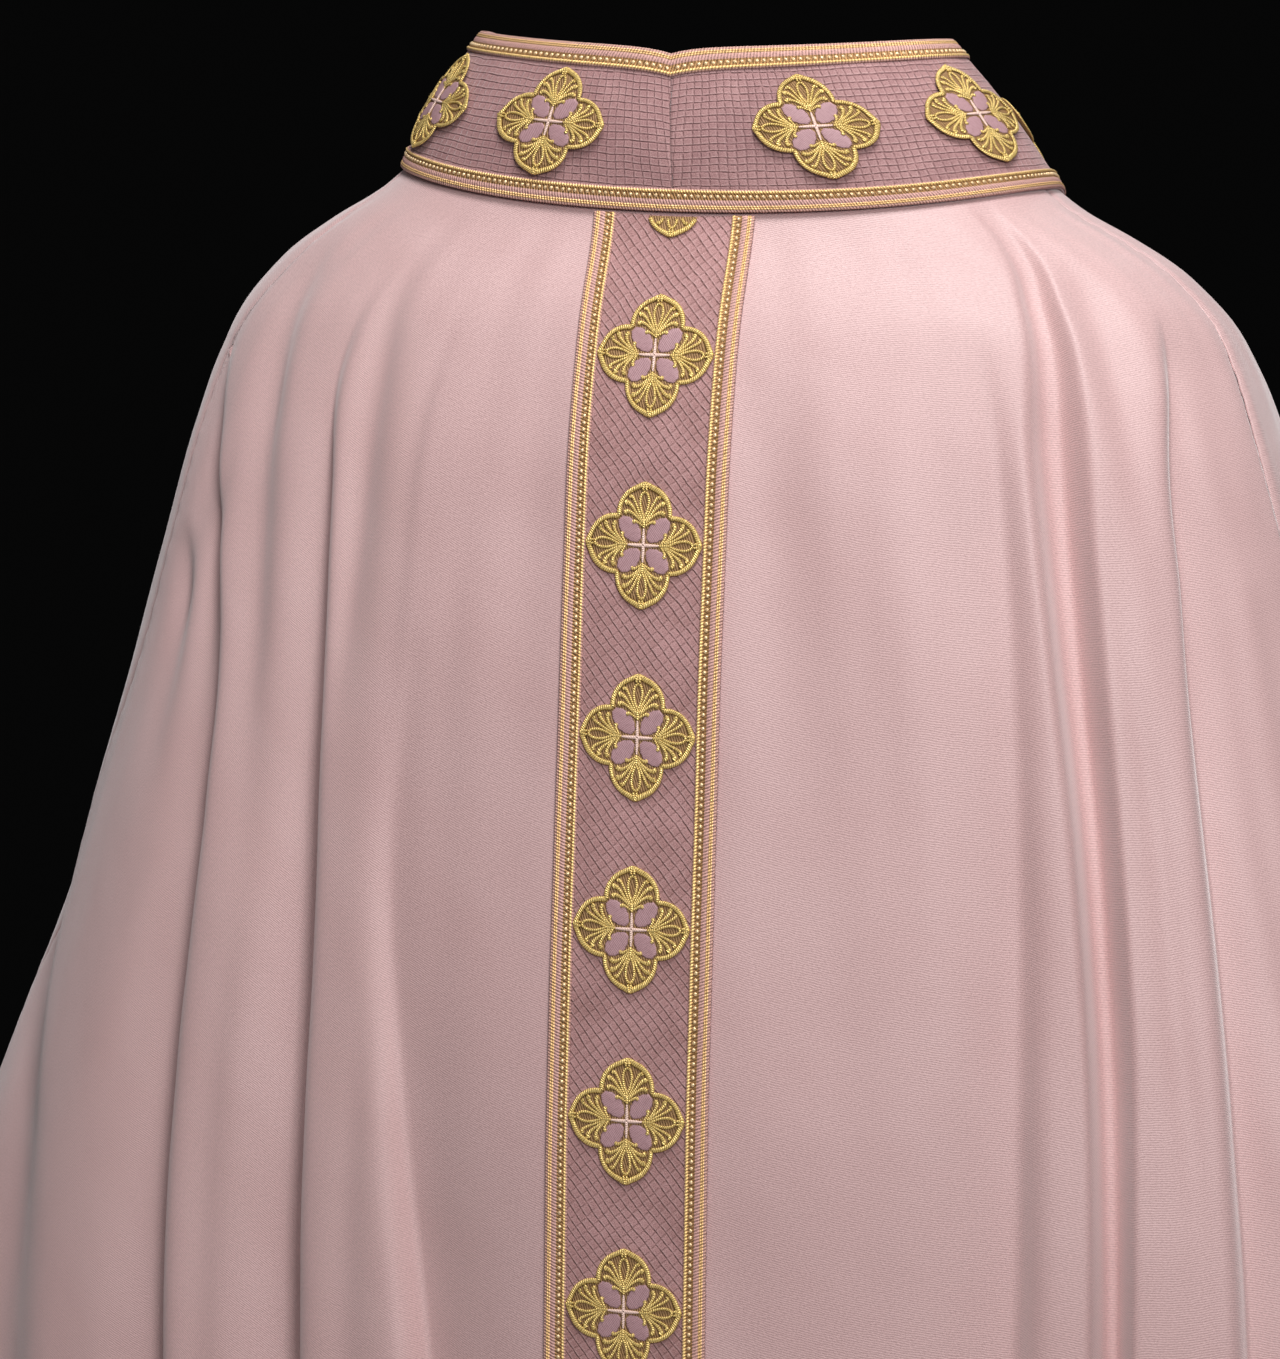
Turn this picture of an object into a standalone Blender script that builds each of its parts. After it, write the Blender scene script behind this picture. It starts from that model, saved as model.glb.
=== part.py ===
"""A chasuble as it is worn: two cloth panels, a standing collar in two halves, a velvet band down the
centre back, and the braids and embroidered quatrefoils that lie on them.

The garment hangs about the origin, which is at the middle of the collar's foot. Up is +Z, the back is
+Y and the wearer's left is +X. Lengths in the tables are in millimetres and angles in degrees, turned
from the centre back (0) through the wearer's left (90) to the centre front (180).
"""

import math

import bmesh
import bpy
import numpy as np

MM = 0.001
MERGE = 0.00001

# slot: colour, roughness, metallic
FINISHES = {
    "rose_cloth": ((0.72, 0.53, 0.54), 0.85, 0.0),
    "rose_velvet": ((0.42, 0.25, 0.28), 0.9, 0.0),
    "gold_braid": ((0.55, 0.36, 0.16), 0.5, 0.4),
    "gold_embroidery": ((0.60, 0.42, 0.12), 0.4, 0.7),
}

# Level sections of the panels, from the collar down.
# height, half width, depth behind the middle, depth in front of it
SECTIONS = (
    (20, 165, 84, 84),
    (0, 175, 91, 98),
    (-12, 190, 94, 104),
    (-26, 215, 98, 111),
    (-43, 241, 106, 120),
    (-54, 253, 112, 125),
    (-68, 266, 119, 131),
    (-96, 282, 129, 141),
    (-130, 295, 138, 150),
    (-190, 313, 147, 165),
    (-250, 330, 154, 177),
    (-313, 350, 160, 188),
    (-400, 379, 169, 200),
    (-470, 406, 175, 208),
    (-560, 442, 179, 215),
    (-650, 470, 183, 220),
    (-800, 482, 187, 224),
    (-1000, 480, 191, 226),
    (-1250, 472, 195, 228),
)
FLATNESS = 0.18  # how much flatter than an ellipse the back and the front are

# The shoulder on the wearer's left stands a little higher than the other.
TILT = 6.0
TILT_HALF_WIDTH = 173.0
TILT_LIMIT = 1.6
TILT_FADE = 80.0

# The neckline sags at the back and more at the front; the hem falls from the arms to both middles.
NECK_SAG_BACK = 18.0
NECK_SAG_FRONT = 45.0
HEM_SIDE = 650.0
HEM_FALL_BACK = 565.0
HEM_FALL_FRONT = 545.0
HEM_ROUNDNESS = 1.25

# Where the two panels are joined, over each shoulder and down the arm.
# height, angle
SEAM_LEFT = ((0, 74), (-41, 66), (-96, 69), (-187, 69), (-245, 70), (-336, 76), (-500, 82), (-700, 86))
SEAM_RIGHT = ((0, -84), (-60, -82), (-110, -79), (-190, -78), (-300, -80), (-500, -84), (-700, -86))

# Folds of the back. Each is a trough along a line: how deep it is, how far it reaches towards the
# wearer's left and right, and how square its floor is.
# height, angle, depth, reach left, reach right
FOLDS_BACK = (
    ("far_left", 2.0, (
        (-330, 84, 0, 18, 16), (-416, 75, 7, 20, 16), (-513, 62, 10, 26, 18), (-640, 54, 13, 34, 22),
        (-900, 47, 16, 40, 26))),
    ("elbow_left", 1.8, (
        (-185, 64, 0, 8, 8), (-215, 61, 6, 10, 7), (-250, 59, 5, 12, 8), (-330, 57, 0, 12, 8))),
    ("outer_left", 1.7, (
        (-85, 69, 0, 12, 6), (-144, 61, 6, 16, 5), (-235, 51.5, 10, 22, 6), (-323, 47, 13, 26, 6),
        (-423, 43.5, 15, 30, 7), (-616, 36.5, 18, 36, 8), (-900, 31, 22, 40, 12), (-1200, 27, 26, 44, 16))),
    ("shoulder_left", 1.8, (
        (-34, 58, 0, 12, 8), (-61, 55, 5, 16, 9), (-97, 52, 8, 18, 9), (-165, 48, 8, 18, 10),
        (-273, 42.5, 5, 16, 12), (-380, 38, 0, 16, 12))),
    ("deep_left", 1.6, (
        (-42, 39, 0, 12, 8), (-102, 39.8, 6, 18, 6), (-163, 37.3, 13, 24, 5), (-242, 34.5, 18, 28, 5),
        (-391, 29.8, 22, 32, 6), (-466, 27.8, 23, 34, 6), (-607, 24.6, 24, 36, 7),
        (-900, 20.5, 27, 40, 10), (-1200, 18, 30, 44, 14))),
    ("inner_left", 1.8, (
        (-40, 36, 0, 10, 10), (-95, 33, 5, 14, 10), (-139, 32.2, 7, 14, 11), (-207, 31, 5, 12, 11),
        (-290, 30, 0, 10, 10))),
    ("panel_left", 1.6, (
        (-230, 22, 0, 10, 30), (-339, 22, 5, 9, 34), (-470, 18, 10, 8, 38), (-600, 14.2, 15, 7, 40),
        (-900, 10.5, 20, 10, 44), (-1200, 8.6, 22, 14, 50))),
    ("middle_left", 2.0, (
        (-60, 13, 0, 26, 22), (-115, 11.8, 2.5, 28, 22), (-260, 10.5, 2, 28, 24), (-420, 10, 0, 28, 24))),
    ("middle_right", 2.0, (
        (-90, -11, 0, 16, 22), (-139, -12, 3, 16, 24), (-205, -13.2, 3.5, 18, 28),
        (-380, -14, 2, 24, 34), (-560, -14, 0, 24, 34))),
    ("panel_right", 1.7, (
        (-70, -35.5, 0, 20, 10), (-110, -35.8, 4, 24, 10), (-170, -35.6, 8, 26, 9),
        (-269, -34.2, 9, 28, 9), (-374, -31.7, 12, 32, 9), (-579, -26, 18, 40, 9),
        (-900, -21, 22, 44, 12), (-1200, -18, 24, 50, 16))),
    ("deep_right", 3.2, (
        (-8, -55, 0, 7, 5), (-30, -51, 4, 8, 6), (-54, -47.6, 9, 9, 7), (-94, -45.2, 14, 11, 9),
        (-129, -43.9, 18, 13, 10), (-174, -43, 21, 13, 9), (-225, -42.2, 23, 12, 9),
        (-306, -41, 24, 11, 8), (-398, -39, 24, 10, 8), (-578, -33.3, 24, 9, 7),
        (-900, -28, 26, 12, 10), (-1200, -25, 28, 18, 14))),
    ("shoulder_right", 2.0, (
        (-34, -58, 0, 10, 12), (-60, -55, 4, 12, 12), (-90, -53.6, 5, 12, 12), (-125, -53, 3, 12, 12),
        (-180, -52.5, 0, 12, 12))),
    ("outer_right", 1.6, (
        (-62, -67, 0, 5, 16), (-88, -64.8, 6, 5, 22), (-138, -60.3, 11, 5, 28), (-204, -57.9, 15, 5, 32),
        (-306, -54.3, 18, 6, 36), (-375, -52.2, 19, 6, 38), (-578, -44.4, 21, 6, 42),
        (-900, -38, 24, 10, 44), (-1200, -34, 26, 16, 46))),
    ("far_right", 2.0, (
        (-200, -72, 0, 20, 16), (-330, -69, 8, 24, 18), (-520, -62, 14, 30, 20),
        (-640, -57, 16, 34, 22), (-900, -51, 18, 36, 24))),
)

# Folds of the front, plainer, of uneven length and spacing. The angle goes on past 90 each way.
FOLDS_FRONT = (
    ("front_far_left", 2.0, (
        (-60, 104, 0, 18, 14), (-150, 108, 7, 24, 12), (-330, 113, 14, 30, 14), (-640, 119, 19, 36, 16),
        (-900, 126, 22, 40, 20))),
    ("front_outer_left", 1.8, (
        (-50, 122, 0, 16, 10), (-120, 126, 7, 22, 9), (-280, 131, 15, 28, 9), (-520, 138, 21, 34, 10),
        (-900, 145, 25, 40, 14), (-1200, 150, 28, 46, 18))),
    ("front_inner_left", 1.8, (
        (-130, 146, 0, 20, 14), (-240, 150, 7, 26, 12), (-480, 156, 14, 32, 12), (-800, 160, 19, 40, 16),
        (-1200, 163, 23, 48, 22))),
    ("front_inner_right", 1.8, (
        (-180, -150, 0, 14, 20), (-300, -154, 6, 12, 26), (-560, -159, 13, 12, 34), (-900, -163, 18, 16, 42),
        (-1200, -165, 21, 22, 48))),
    ("front_outer_right", 1.8, (
        (-58, -124, 0, 10, 16), (-140, -128, 8, 9, 22), (-300, -134, 16, 9, 28), (-600, -142, 22, 10, 36),
        (-900, -147, 25, 14, 40), (-1200, -151, 27, 18, 46))),
    ("front_far_right", 2.0, (
        (-80, -103, 0, 14, 18), (-180, -107, 8, 12, 24), (-380, -113, 15, 14, 32), (-640, -120, 20, 16, 36),
        (-900, -127, 22, 20, 40))),
)

# The collar leans in from the neckline to its rim.
RIM_MIDDLE = (4.0, 10.0)
RIM_HALF_WIDTH = 126.0
RIM_DEPTH_BACK = 78.0
RIM_DEPTH_FRONT = 70.0
RIM_HEIGHT = 73.0
RIM_TILT = 3.0
RIM_SAG_BACK = 7.0
RIM_SAG_FRONT = 50.0
RIM_NOTCH = 4.0
RIM_NOTCH_WIDTH = 6.0
COLLAR_BULGE = 4.0
COLLAR_ROWS = (0.0, 0.12, 0.5, 0.88, 1.0)
COLLAR_OUT = 2.0

CLOTH = 2.4
VELVET = 2.6
GAP = 0.3
BAND_THICK = 1.2
BAND_START = 2.2
BRAID_THICK = 1.0
MOTIF_THICK = 1.0
MOTIF_GAP = 0.7
MOTIF_GAP_COLLAR = 1.0
MOTIF_CUT = 1.0
BRAID_GAP = 0.6

# Across the orphrey, where the panel, the band and the braids share their points.
BAND_STEPS = (-42.5, -30.7, -20.0, -10.0, 0.0, 10.0, 20.0, 30.7, 42.5)

# A quatrefoil: four round lobes with a small point on each.
LOBE_OFF = 15.7
LOBE_ROUND = 15.3
TIP_OFF = 30.2
TIP_ROUND = 1.6
OUTLINE_STEP = 0.05
ORPHREY_SLIM = 0.96  # the band's quatrefoils are a little narrower than tall
MOTIF_SPOKES = 24
MOTIF_RINGS = 2
ORPHREY_MOTIFS = 13
ORPHREY_FIRST = -17.5
ORPHREY_PITCH = 96.4
COLLAR_MOTIFS_HALF = 4
COLLAR_FIRST_LEFT = 67.0
COLLAR_FIRST_RIGHT = 75.0
COLLAR_PITCH = 88.0
COLLAR_SQUAT = 0.93  # the collar's are a little lower than wide

ROWS = 24
ROW_CROWDING = 1.25  # above 1, rows lie closer near the collar

# Lines that the columns of points follow, beside a fold's trough.
# fold, millimetres off its line
BACK_LINES_RIGHT = (("outer_right", -6), ("outer_right", 6), ("deep_right", -12), ("deep_right", 14),
                    ("panel_right", -7))
BACK_LINES_LEFT = (("panel_left", 4), ("deep_left", -8), ("deep_left", 3), ("outer_left", -8),
                   ("outer_left", 3))
FRONT_LINES_LEFT = (("front_far_left", -8), ("front_far_left", 12), ("front_outer_left", -5),
                    ("front_outer_left", 12), ("front_inner_left", -8), ("front_inner_left", 16))
FRONT_LINES_RIGHT = (("front_inner_right", -16), ("front_inner_right", 8), ("front_outer_right", -12),
                     ("front_outer_right", 5), ("front_far_right", -12), ("front_far_right", 8))

# How many columns lie from each line to the next, seam to seam.
BACK_COUNTS_RIGHT = (7, 1, 4, 4, 2, 4)
BACK_COUNTS_LEFT = (3, 4, 1, 5, 1, 6)
FRONT_COUNTS = (5, 2, 3, 2, 3, 2, 2, 2, 2, 3, 2, 3, 2, 5)
GUIDE_SPACING = math.radians(1.1)
COLUMN_CROWDING = 0.6  # above 0, columns gather near the lines

# Steps small enough to give directions and lengths on the form.
SMALL_TURN = 0.004
SMALL_FALL = 0.8
FINE_STEPS = 240
FINE_CROWDING = 1.5
EDGE_PASSES = 12
SEAT = 0.05  # the collar's foot stands this much above the panels' edge, past the gap


def along(rows, height, column):
    """Value of a table's column at a height, on a smooth curve through the rows."""
    table = np.array(rows, float)[::-1]
    x, y = table[:, 0], table[:, column]
    slope = np.gradient(y, x)
    h = np.clip(np.asarray(height, float), x[0], x[-1])
    i = np.clip(np.searchsorted(x, h) - 1, 0, len(x) - 2)
    gap = x[i + 1] - x[i]
    t = (h - x[i]) / gap
    low = (2 * t**3 - 3 * t**2 + 1) * y[i] + (t**3 - 2 * t**2 + t) * gap * slope[i]
    return low + (3 * t**2 - 2 * t**3) * y[i + 1] + (t**3 - t**2) * gap * slope[i + 1]


def neck(angle):
    """Height of the neckline at an angle."""
    c = np.cos(angle)
    return -NECK_SAG_BACK * np.maximum(c, 0) ** 2 - NECK_SAG_FRONT * np.maximum(-c, 0) ** 2


def hem(angle):
    """Height of the hem at an angle."""
    c = np.cos(angle)
    fall = np.where(c > 0, HEM_FALL_BACK, HEM_FALL_FRONT)
    return -HEM_SIDE - fall * np.abs(c) ** HEM_ROUNDNESS


def form(angle, height):
    """The garment without its folds."""
    s, c = np.sin(angle), np.cos(angle)
    x = along(SECTIONS, height, 1) * s
    deep = np.where(c > 0, along(SECTIONS, height, 2), along(SECTIONS, height, 3))
    y = deep * c * (1 + FLATNESS * s * s)
    lift = TILT * np.clip(x / TILT_HALF_WIDTH, -TILT_LIMIT, TILT_LIMIT)
    return np.stack([x, y, height + lift * np.exp(np.minimum(height, 0) / TILT_FADE)], -1)


def unit(v):
    return v / np.linalg.norm(v, axis=-1, keepdims=True)


def outward(angle, height):
    """Direction square to the form, away from the wearer."""
    across = form(angle + SMALL_TURN, height) - form(angle - SMALL_TURN, height)
    down = form(angle, height - SMALL_FALL) - form(angle, height + SMALL_FALL)
    return unit(np.cross(across, down))


def span(angle, height):
    """Millimetres along a level section for one radian of angle."""
    step = form(angle + SMALL_TURN, height) - form(angle - SMALL_TURN, height)
    return np.linalg.norm(step, axis=-1) / (2 * SMALL_TURN)


def fold_depth(angle, height):
    """How far the folds take the cloth in, from both tables."""
    wide = span(angle, height)
    total = np.zeros(np.shape(angle))
    for _, squareness, rows in FOLDS_BACK + FOLDS_FRONT:
        line = np.radians(along(rows, height, 1))
        deep = np.maximum(along(rows, height, 2), 0)
        off = (angle - line + math.pi) % (2 * math.pi) - math.pi
        off = off * wide
        reach = np.where(off > 0, along(rows, height, 3), along(rows, height, 4))
        total = total + deep * np.exp(-np.abs(off / reach) ** squareness)
    return total


def skin(angle, height, lift=0.0):
    """A point of the cloth's outside, or this far out from it."""
    move = lift - fold_depth(angle, height)
    return form(angle, height) + outward(angle, height) * move[..., None]


def line_angle(rows, height):
    return np.radians(along(rows, height, 1))


def column_lines(guides, counts, height):
    """Angles of all the columns at these heights: guide lines with columns gathered near each."""
    lines = [g(height) for g in guides]
    for k in range(1, len(lines) - 1):
        lines[k] = np.maximum(lines[k], lines[k - 1] + GUIDE_SPACING)
    for k in range(len(lines) - 2, 0, -1):
        lines[k] = np.minimum(lines[k], lines[k + 1] - GUIDE_SPACING)
    out = [lines[0]]
    for left, right, count in zip(lines[:-1], lines[1:], counts):
        for k in range(1, count + 1):
            t = k / count
            t = t - COLUMN_CROWDING * math.sin(2 * math.pi * t) / (2 * math.pi)
            out.append(left + (right - left) * t)
    return out


def panel_grid(columns, rows):
    """Angles and heights of a panel's points, evenly spaced down each column.

    columns(heights) gives the angle of every column at each height."""
    n = len(columns(np.zeros(1)))
    top, low = np.full(n, -NECK_SAG_BACK), np.full(n, -HEM_SIDE)
    for _ in range(EDGE_PASSES):
        top = neck(np.array([columns(np.full(1, top[k]))[k][0] for k in range(n)]))
        low = hem(np.array([columns(np.full(1, low[k]))[k][0] for k in range(n)]))
    angle, height = np.zeros((rows + 1, n)), np.zeros((rows + 1, n))
    for k in range(n):
        t = np.linspace(0, 1, FINE_STEPS + 1) ** FINE_CROWDING
        z = top[k] + (low[k] - top[k]) * t
        a = columns(z)[k]
        p = form(a, z)
        run = np.concatenate([[0], np.cumsum(np.linalg.norm(np.diff(p, axis=0), axis=1))])
        want = run[-1] * np.linspace(0, 1, rows + 1) ** ROW_CROWDING
        height[:, k] = np.interp(want, run, z)
        angle[:, k] = np.interp(want, run, a)
    return angle, height


def fold_guide(name, shift):
    rows = next(r for n, _, r in FOLDS_BACK + FOLDS_FRONT if n == name)

    def guide(height):
        wide = along(SECTIONS, height, 1)
        return line_angle(rows, height) + shift / wide

    return guide


def band_guide(across):
    def guide(height):
        return np.arcsin(across / along(SECTIONS, height, 1))

    return guide


def seam_guide(rows, shift):
    def guide(height):
        line = line_angle(rows, height)
        return line + shift / span(line, height)

    return guide


def turned(guide):
    """The same guide, its angle counted on past the centre front."""
    return lambda height: guide(height) + 2 * math.pi


def back_columns(height):
    """Column angles of the back panel, from the wearer's right to left, along its main folds."""
    guides = [seam_guide(SEAM_RIGHT, GAP / 2)] + [fold_guide(*line) for line in BACK_LINES_RIGHT]
    guides += [band_guide(x) for x in BAND_STEPS]
    guides += [fold_guide(*line) for line in BACK_LINES_LEFT] + [seam_guide(SEAM_LEFT, -GAP / 2)]
    counts = BACK_COUNTS_RIGHT + (1,) * (len(BAND_STEPS) - 1) + BACK_COUNTS_LEFT
    return column_lines(guides, counts, height)


def front_columns(height):
    """Column angles of the front panel, from the wearer's left round to the right."""
    guides = [seam_guide(SEAM_LEFT, GAP / 2)] + [fold_guide(*line) for line in FRONT_LINES_LEFT]
    guides += [lambda h: np.full(np.shape(h), math.pi)]
    guides += [turned(fold_guide(*line)) for line in FRONT_LINES_RIGHT]
    guides += [turned(seam_guide(SEAM_RIGHT, -GAP / 2))]
    return column_lines(guides, FRONT_COUNTS, height)


def finish(slot):
    """The plain material of a slot, made once."""
    if slot not in bpy.data.materials:
        colour, roughness, metallic = FINISHES[slot]
        material = bpy.data.materials.new(slot)
        material.use_nodes = True
        shader = material.node_tree.nodes["Principled BSDF"]
        shader.inputs["Base Color"].default_value = (*colour, 1)
        shader.inputs["Roughness"].default_value = roughness
        shader.inputs["Metallic"].default_value = metallic
    return bpy.data.materials[slot]


def build(name, slot, points, faces):
    """One closed mesh; its faces are turned round if they look inwards."""
    points, faces = np.asarray(points), np.asarray(faces)
    a, b, c = (points[faces[:, k]] for k in range(3))
    if np.sum(a * np.cross(b, c)) < 0:
        faces = faces[:, ::-1]
    mesh = bpy.data.meshes.new(name)
    mesh.from_pydata((points * MM).tolist(), [], faces.tolist())
    merged = bmesh.new()
    merged.from_mesh(mesh)
    bmesh.ops.remove_doubles(merged, verts=merged.verts, dist=MERGE)
    merged.to_mesh(mesh)
    merged.free()
    mesh.materials.append(finish(slot))
    thing = bpy.data.objects.new(name, mesh)
    bpy.context.collection.objects.link(thing)
    for face in mesh.polygons:
        face.use_smooth = True
    return thing


def wall(name, slot, outer, inner, closed=False):
    """A closed wall between two grids of the same size, joined round its edges. closed makes it a ring."""
    if closed:
        outer = np.concatenate([outer, outer[:, :1]], axis=1)
        inner = np.concatenate([inner, inner[:, :1]], axis=1)
    rows, cols = outer.shape[:2]
    count = rows * cols
    points = np.concatenate([outer.reshape(-1, 3), inner.reshape(-1, 3)])

    def at(r, c, side):
        return side * count + r * cols + c

    faces = []
    for r in range(rows - 1):
        for c in range(cols - 1):
            quad = [at(r, c, 0), at(r + 1, c, 0), at(r + 1, c + 1, 0), at(r, c + 1, 0)]
            faces += [(quad[0], quad[1], quad[2]), (quad[0], quad[2], quad[3])]
            back = [q + count for q in quad]
            faces += [(back[0], back[2], back[1]), (back[0], back[3], back[2])]
    edges = [((0, c), (0, c + 1)) for c in range(cols - 1)]
    edges += [((rows - 1, c + 1), (rows - 1, c)) for c in range(cols - 1)]
    if not closed:
        edges += [((r, cols - 1), (r + 1, cols - 1)) for r in range(rows - 1)]
        edges += [((r + 1, 0), (r, 0)) for r in range(rows - 1)]
    for a, b in edges:
        faces.append((at(*a, 0), at(*b, 0), at(*b, 1)))
        faces.append((at(*a, 0), at(*b, 1), at(*a, 1)))
    return build(name, slot, points, faces)


def disc(name, slot, outer, inner):
    """A closed plate from two fans of points: the middle first, then rings of the same count."""
    rings, spokes = (len(outer) - 1) // MOTIF_SPOKES, MOTIF_SPOKES
    count = len(outer)
    faces = []
    for k in range(spokes):
        n = (k + 1) % spokes
        tops = [(0, 1 + k, 1 + n)]
        for ring in range(rings - 1):
            a, b = 1 + ring * spokes, 1 + (ring + 1) * spokes
            tops += [(a + k, b + k, b + n), (a + k, b + n, a + n)]
        faces += tops + [(f[0] + count, f[2] + count, f[1] + count) for f in tops]
        last = 1 + (rings - 1) * spokes
        faces.append((last + k, last + k + count, last + n + count))
        faces.append((last + k, last + n + count, last + n))
    return build(name, slot, np.concatenate([outer, inner]), faces)


def grid_at(grid, row, col):
    """A point of a grid at a fractional row and column."""
    r = np.clip(np.floor(row).astype(int), 0, grid.shape[0] - 2)
    c = np.clip(np.floor(col).astype(int), 0, grid.shape[1] - 2)
    t, u = (row - r)[..., None], (col - c)[..., None]
    low = grid[r, c] * (1 - u) + grid[r, c + 1] * u
    return low * (1 - t) + (grid[r + 1, c] * (1 - u) + grid[r + 1, c + 1] * u) * t


def grid_normals(grid):
    down = np.gradient(grid, axis=0)
    across = np.gradient(grid, axis=1)
    return unit(np.cross(across, down))


def quatrefoil(cut=-math.inf):
    """Across and along of a quatrefoil's points: the middle, then rings out to the outline.

    What lies before cut is left off."""
    middle = max(0.0, (cut + LOBE_OFF + LOBE_ROUND) / 2)
    turn = np.arange(MOTIF_SPOKES) * 2 * math.pi / MOTIF_SPOKES
    way = np.stack([np.cos(turn), np.sin(turn)], -1)
    reach = np.arange(0, 2 * LOBE_OFF + LOBE_ROUND, OUTLINE_STEP)
    x = way[:, :1] * reach
    y = middle + way[:, 1:] * reach
    inside = np.abs(x) + np.abs(y) < LOBE_OFF
    for ax, ay in ((1, 0), (-1, 0), (0, 1), (0, -1)):
        inside |= np.hypot(x - ax * LOBE_OFF, y - ay * LOBE_OFF) < LOBE_ROUND
        inside |= np.hypot(x - ax * TIP_OFF, y - ay * TIP_OFF) < TIP_ROUND
    edge = reach[np.argmin(inside & (y > cut), axis=1)]
    xs, ys = [0.0], [middle]
    for k in range(1, MOTIF_RINGS + 1):
        xs = np.concatenate([xs, way[:, 0] * edge * k / MOTIF_RINGS])
        ys = np.concatenate([ys, middle + way[:, 1] * edge * k / MOTIF_RINGS])
    return xs, ys


def clear():
    for thing in list(bpy.data.objects):
        bpy.data.objects.remove(thing, do_unlink=True)


def panels():
    """The two cloth panels; gives the back's points for what lies on it."""
    angle, height = panel_grid(back_columns, ROWS)
    outer = skin(angle, height)
    way = outward(angle, height)
    wall("body_back", "rose_cloth", outer, outer - way * CLOTH)
    front_angle, front_height = panel_grid(front_columns, ROWS)
    front = skin(front_angle, front_height)
    wall("body_front", "rose_cloth", front, front - outward(front_angle, front_height) * CLOTH)
    first = int(np.argmin(np.abs(angle[2] - np.arcsin(BAND_STEPS[0] / along(SECTIONS, height[2], 1)))))
    back_turn, front_turn = angle[0], front_angle[0]
    seam_left = (back_turn[-1] + front_turn[0]) / 2
    seam_right = (front_turn[-1] + back_turn[0]) / 2 + math.pi
    half = sum(FRONT_COUNTS) // 2
    left = np.concatenate([back_turn[back_turn > SMALL_TURN][:-1], [seam_left], front_turn[1:half]])
    right = np.concatenate([-back_turn[back_turn < -SMALL_TURN][1:][::-1], [2 * math.pi - seam_right],
                            2 * math.pi - front_turn[half + 1:-1][::-1]])
    return outer[:, first:first + len(BAND_STEPS)], left, right


def orphrey(ground):
    """The band on the back panel, its two braids and its quatrefoils."""
    way = grid_normals(ground)
    ground = ground.copy()
    ground[0] += unit(ground[1] - ground[0]) * BAND_START
    foot, top = GAP, GAP + BAND_THICK
    wall("orphrey_band", "rose_velvet", ground + way * top, ground + way * foot)
    foot = top + GAP
    for name, cols in (("orphrey_braid_right", slice(0, 2)), ("orphrey_braid_left", slice(-2, None))):
        g, w = ground[:, cols], way[:, cols]
        wall(name, "gold_braid", g + w * (foot + BRAID_THICK), g + w * foot)
    middle = ground[:, len(BAND_STEPS) // 2]
    run = np.concatenate([[0], np.cumsum(np.linalg.norm(np.diff(middle, axis=0), axis=1))])
    steps = np.array(BAND_STEPS)
    edge = steps[-2] - BRAID_GAP
    for k in range(ORPHREY_MOTIFS):
        here = ORPHREY_FIRST + ORPHREY_PITCH * k
        xs, ys = quatrefoil(MOTIF_CUT - here)
        row = np.interp(here + ys, run, np.arange(len(run)))
        col = np.interp(np.clip(xs * ORPHREY_SLIM, -edge, edge), steps, np.arange(len(steps)))
        base, out = grid_at(ground, row, col), unit(grid_at(way, row, col))
        low = GAP + BAND_THICK + MOTIF_GAP
        disc(f"orphrey_motif_{k + 1}", "gold_embroidery", base + out * (low + MOTIF_THICK), base + out * low)


def neck_side(angle):
    """Level direction square to the neckline, away from the wearer."""
    ahead, behind = angle + SMALL_TURN, angle - SMALL_TURN
    step = skin(ahead, neck(ahead)) - skin(behind, neck(behind))
    return unit(np.stack([-step[..., 1], step[..., 0], 0 * step[..., 0]], -1))


def collar_point(angle, up):
    """A point of the collar's outside: angle round, and 0 at its foot to 1 at its rim."""
    s, c = np.sin(angle), np.cos(angle)
    side = unit(np.stack([s * RIM_DEPTH_BACK, c * RIM_HALF_WIDTH, 0 * s], -1))
    foot = skin(angle, neck(angle)) + neck_side(angle) * COLLAR_OUT + np.array([0, 0, GAP + SEAT])
    deep = np.where(c > 0, RIM_DEPTH_BACK, RIM_DEPTH_FRONT)
    off = np.degrees(np.abs((angle + math.pi) % (2 * math.pi) - math.pi))
    notch = RIM_NOTCH * np.exp(-off / RIM_NOTCH_WIDTH)
    z = RIM_HEIGHT + RIM_TILT * s - RIM_SAG_BACK * np.maximum(c, 0) ** 2
    z = z - RIM_SAG_FRONT * np.maximum(-c, 0) ** 2 - notch
    rim = np.stack([RIM_MIDDLE[0] + RIM_HALF_WIDTH * s, RIM_MIDDLE[1] + deep * c, z], -1)
    u = np.asarray(up)[..., None]
    return foot * (1 - u) + rim * u + side * COLLAR_BULGE * np.sin(math.pi * u)


def collar_ground(turn):
    """Points of the collar's outside and the directions out of it, rim first, at these angles."""
    angle, up = np.meshgrid(turn, np.array(COLLAR_ROWS)[::-1])
    ground = collar_point(angle, up)
    way = outwards(ground)
    way[-1] = neck_side(turn)
    return ground, way


def outwards(grid):
    """Directions out of a grid that is part of a ring round the wearer."""
    way = grid_normals(grid)
    middle = np.array([RIM_MIDDLE[0], RIM_MIDDLE[1], 0])
    return way * np.sign(np.sum(way * (grid - middle), axis=-1))[..., None]


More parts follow.
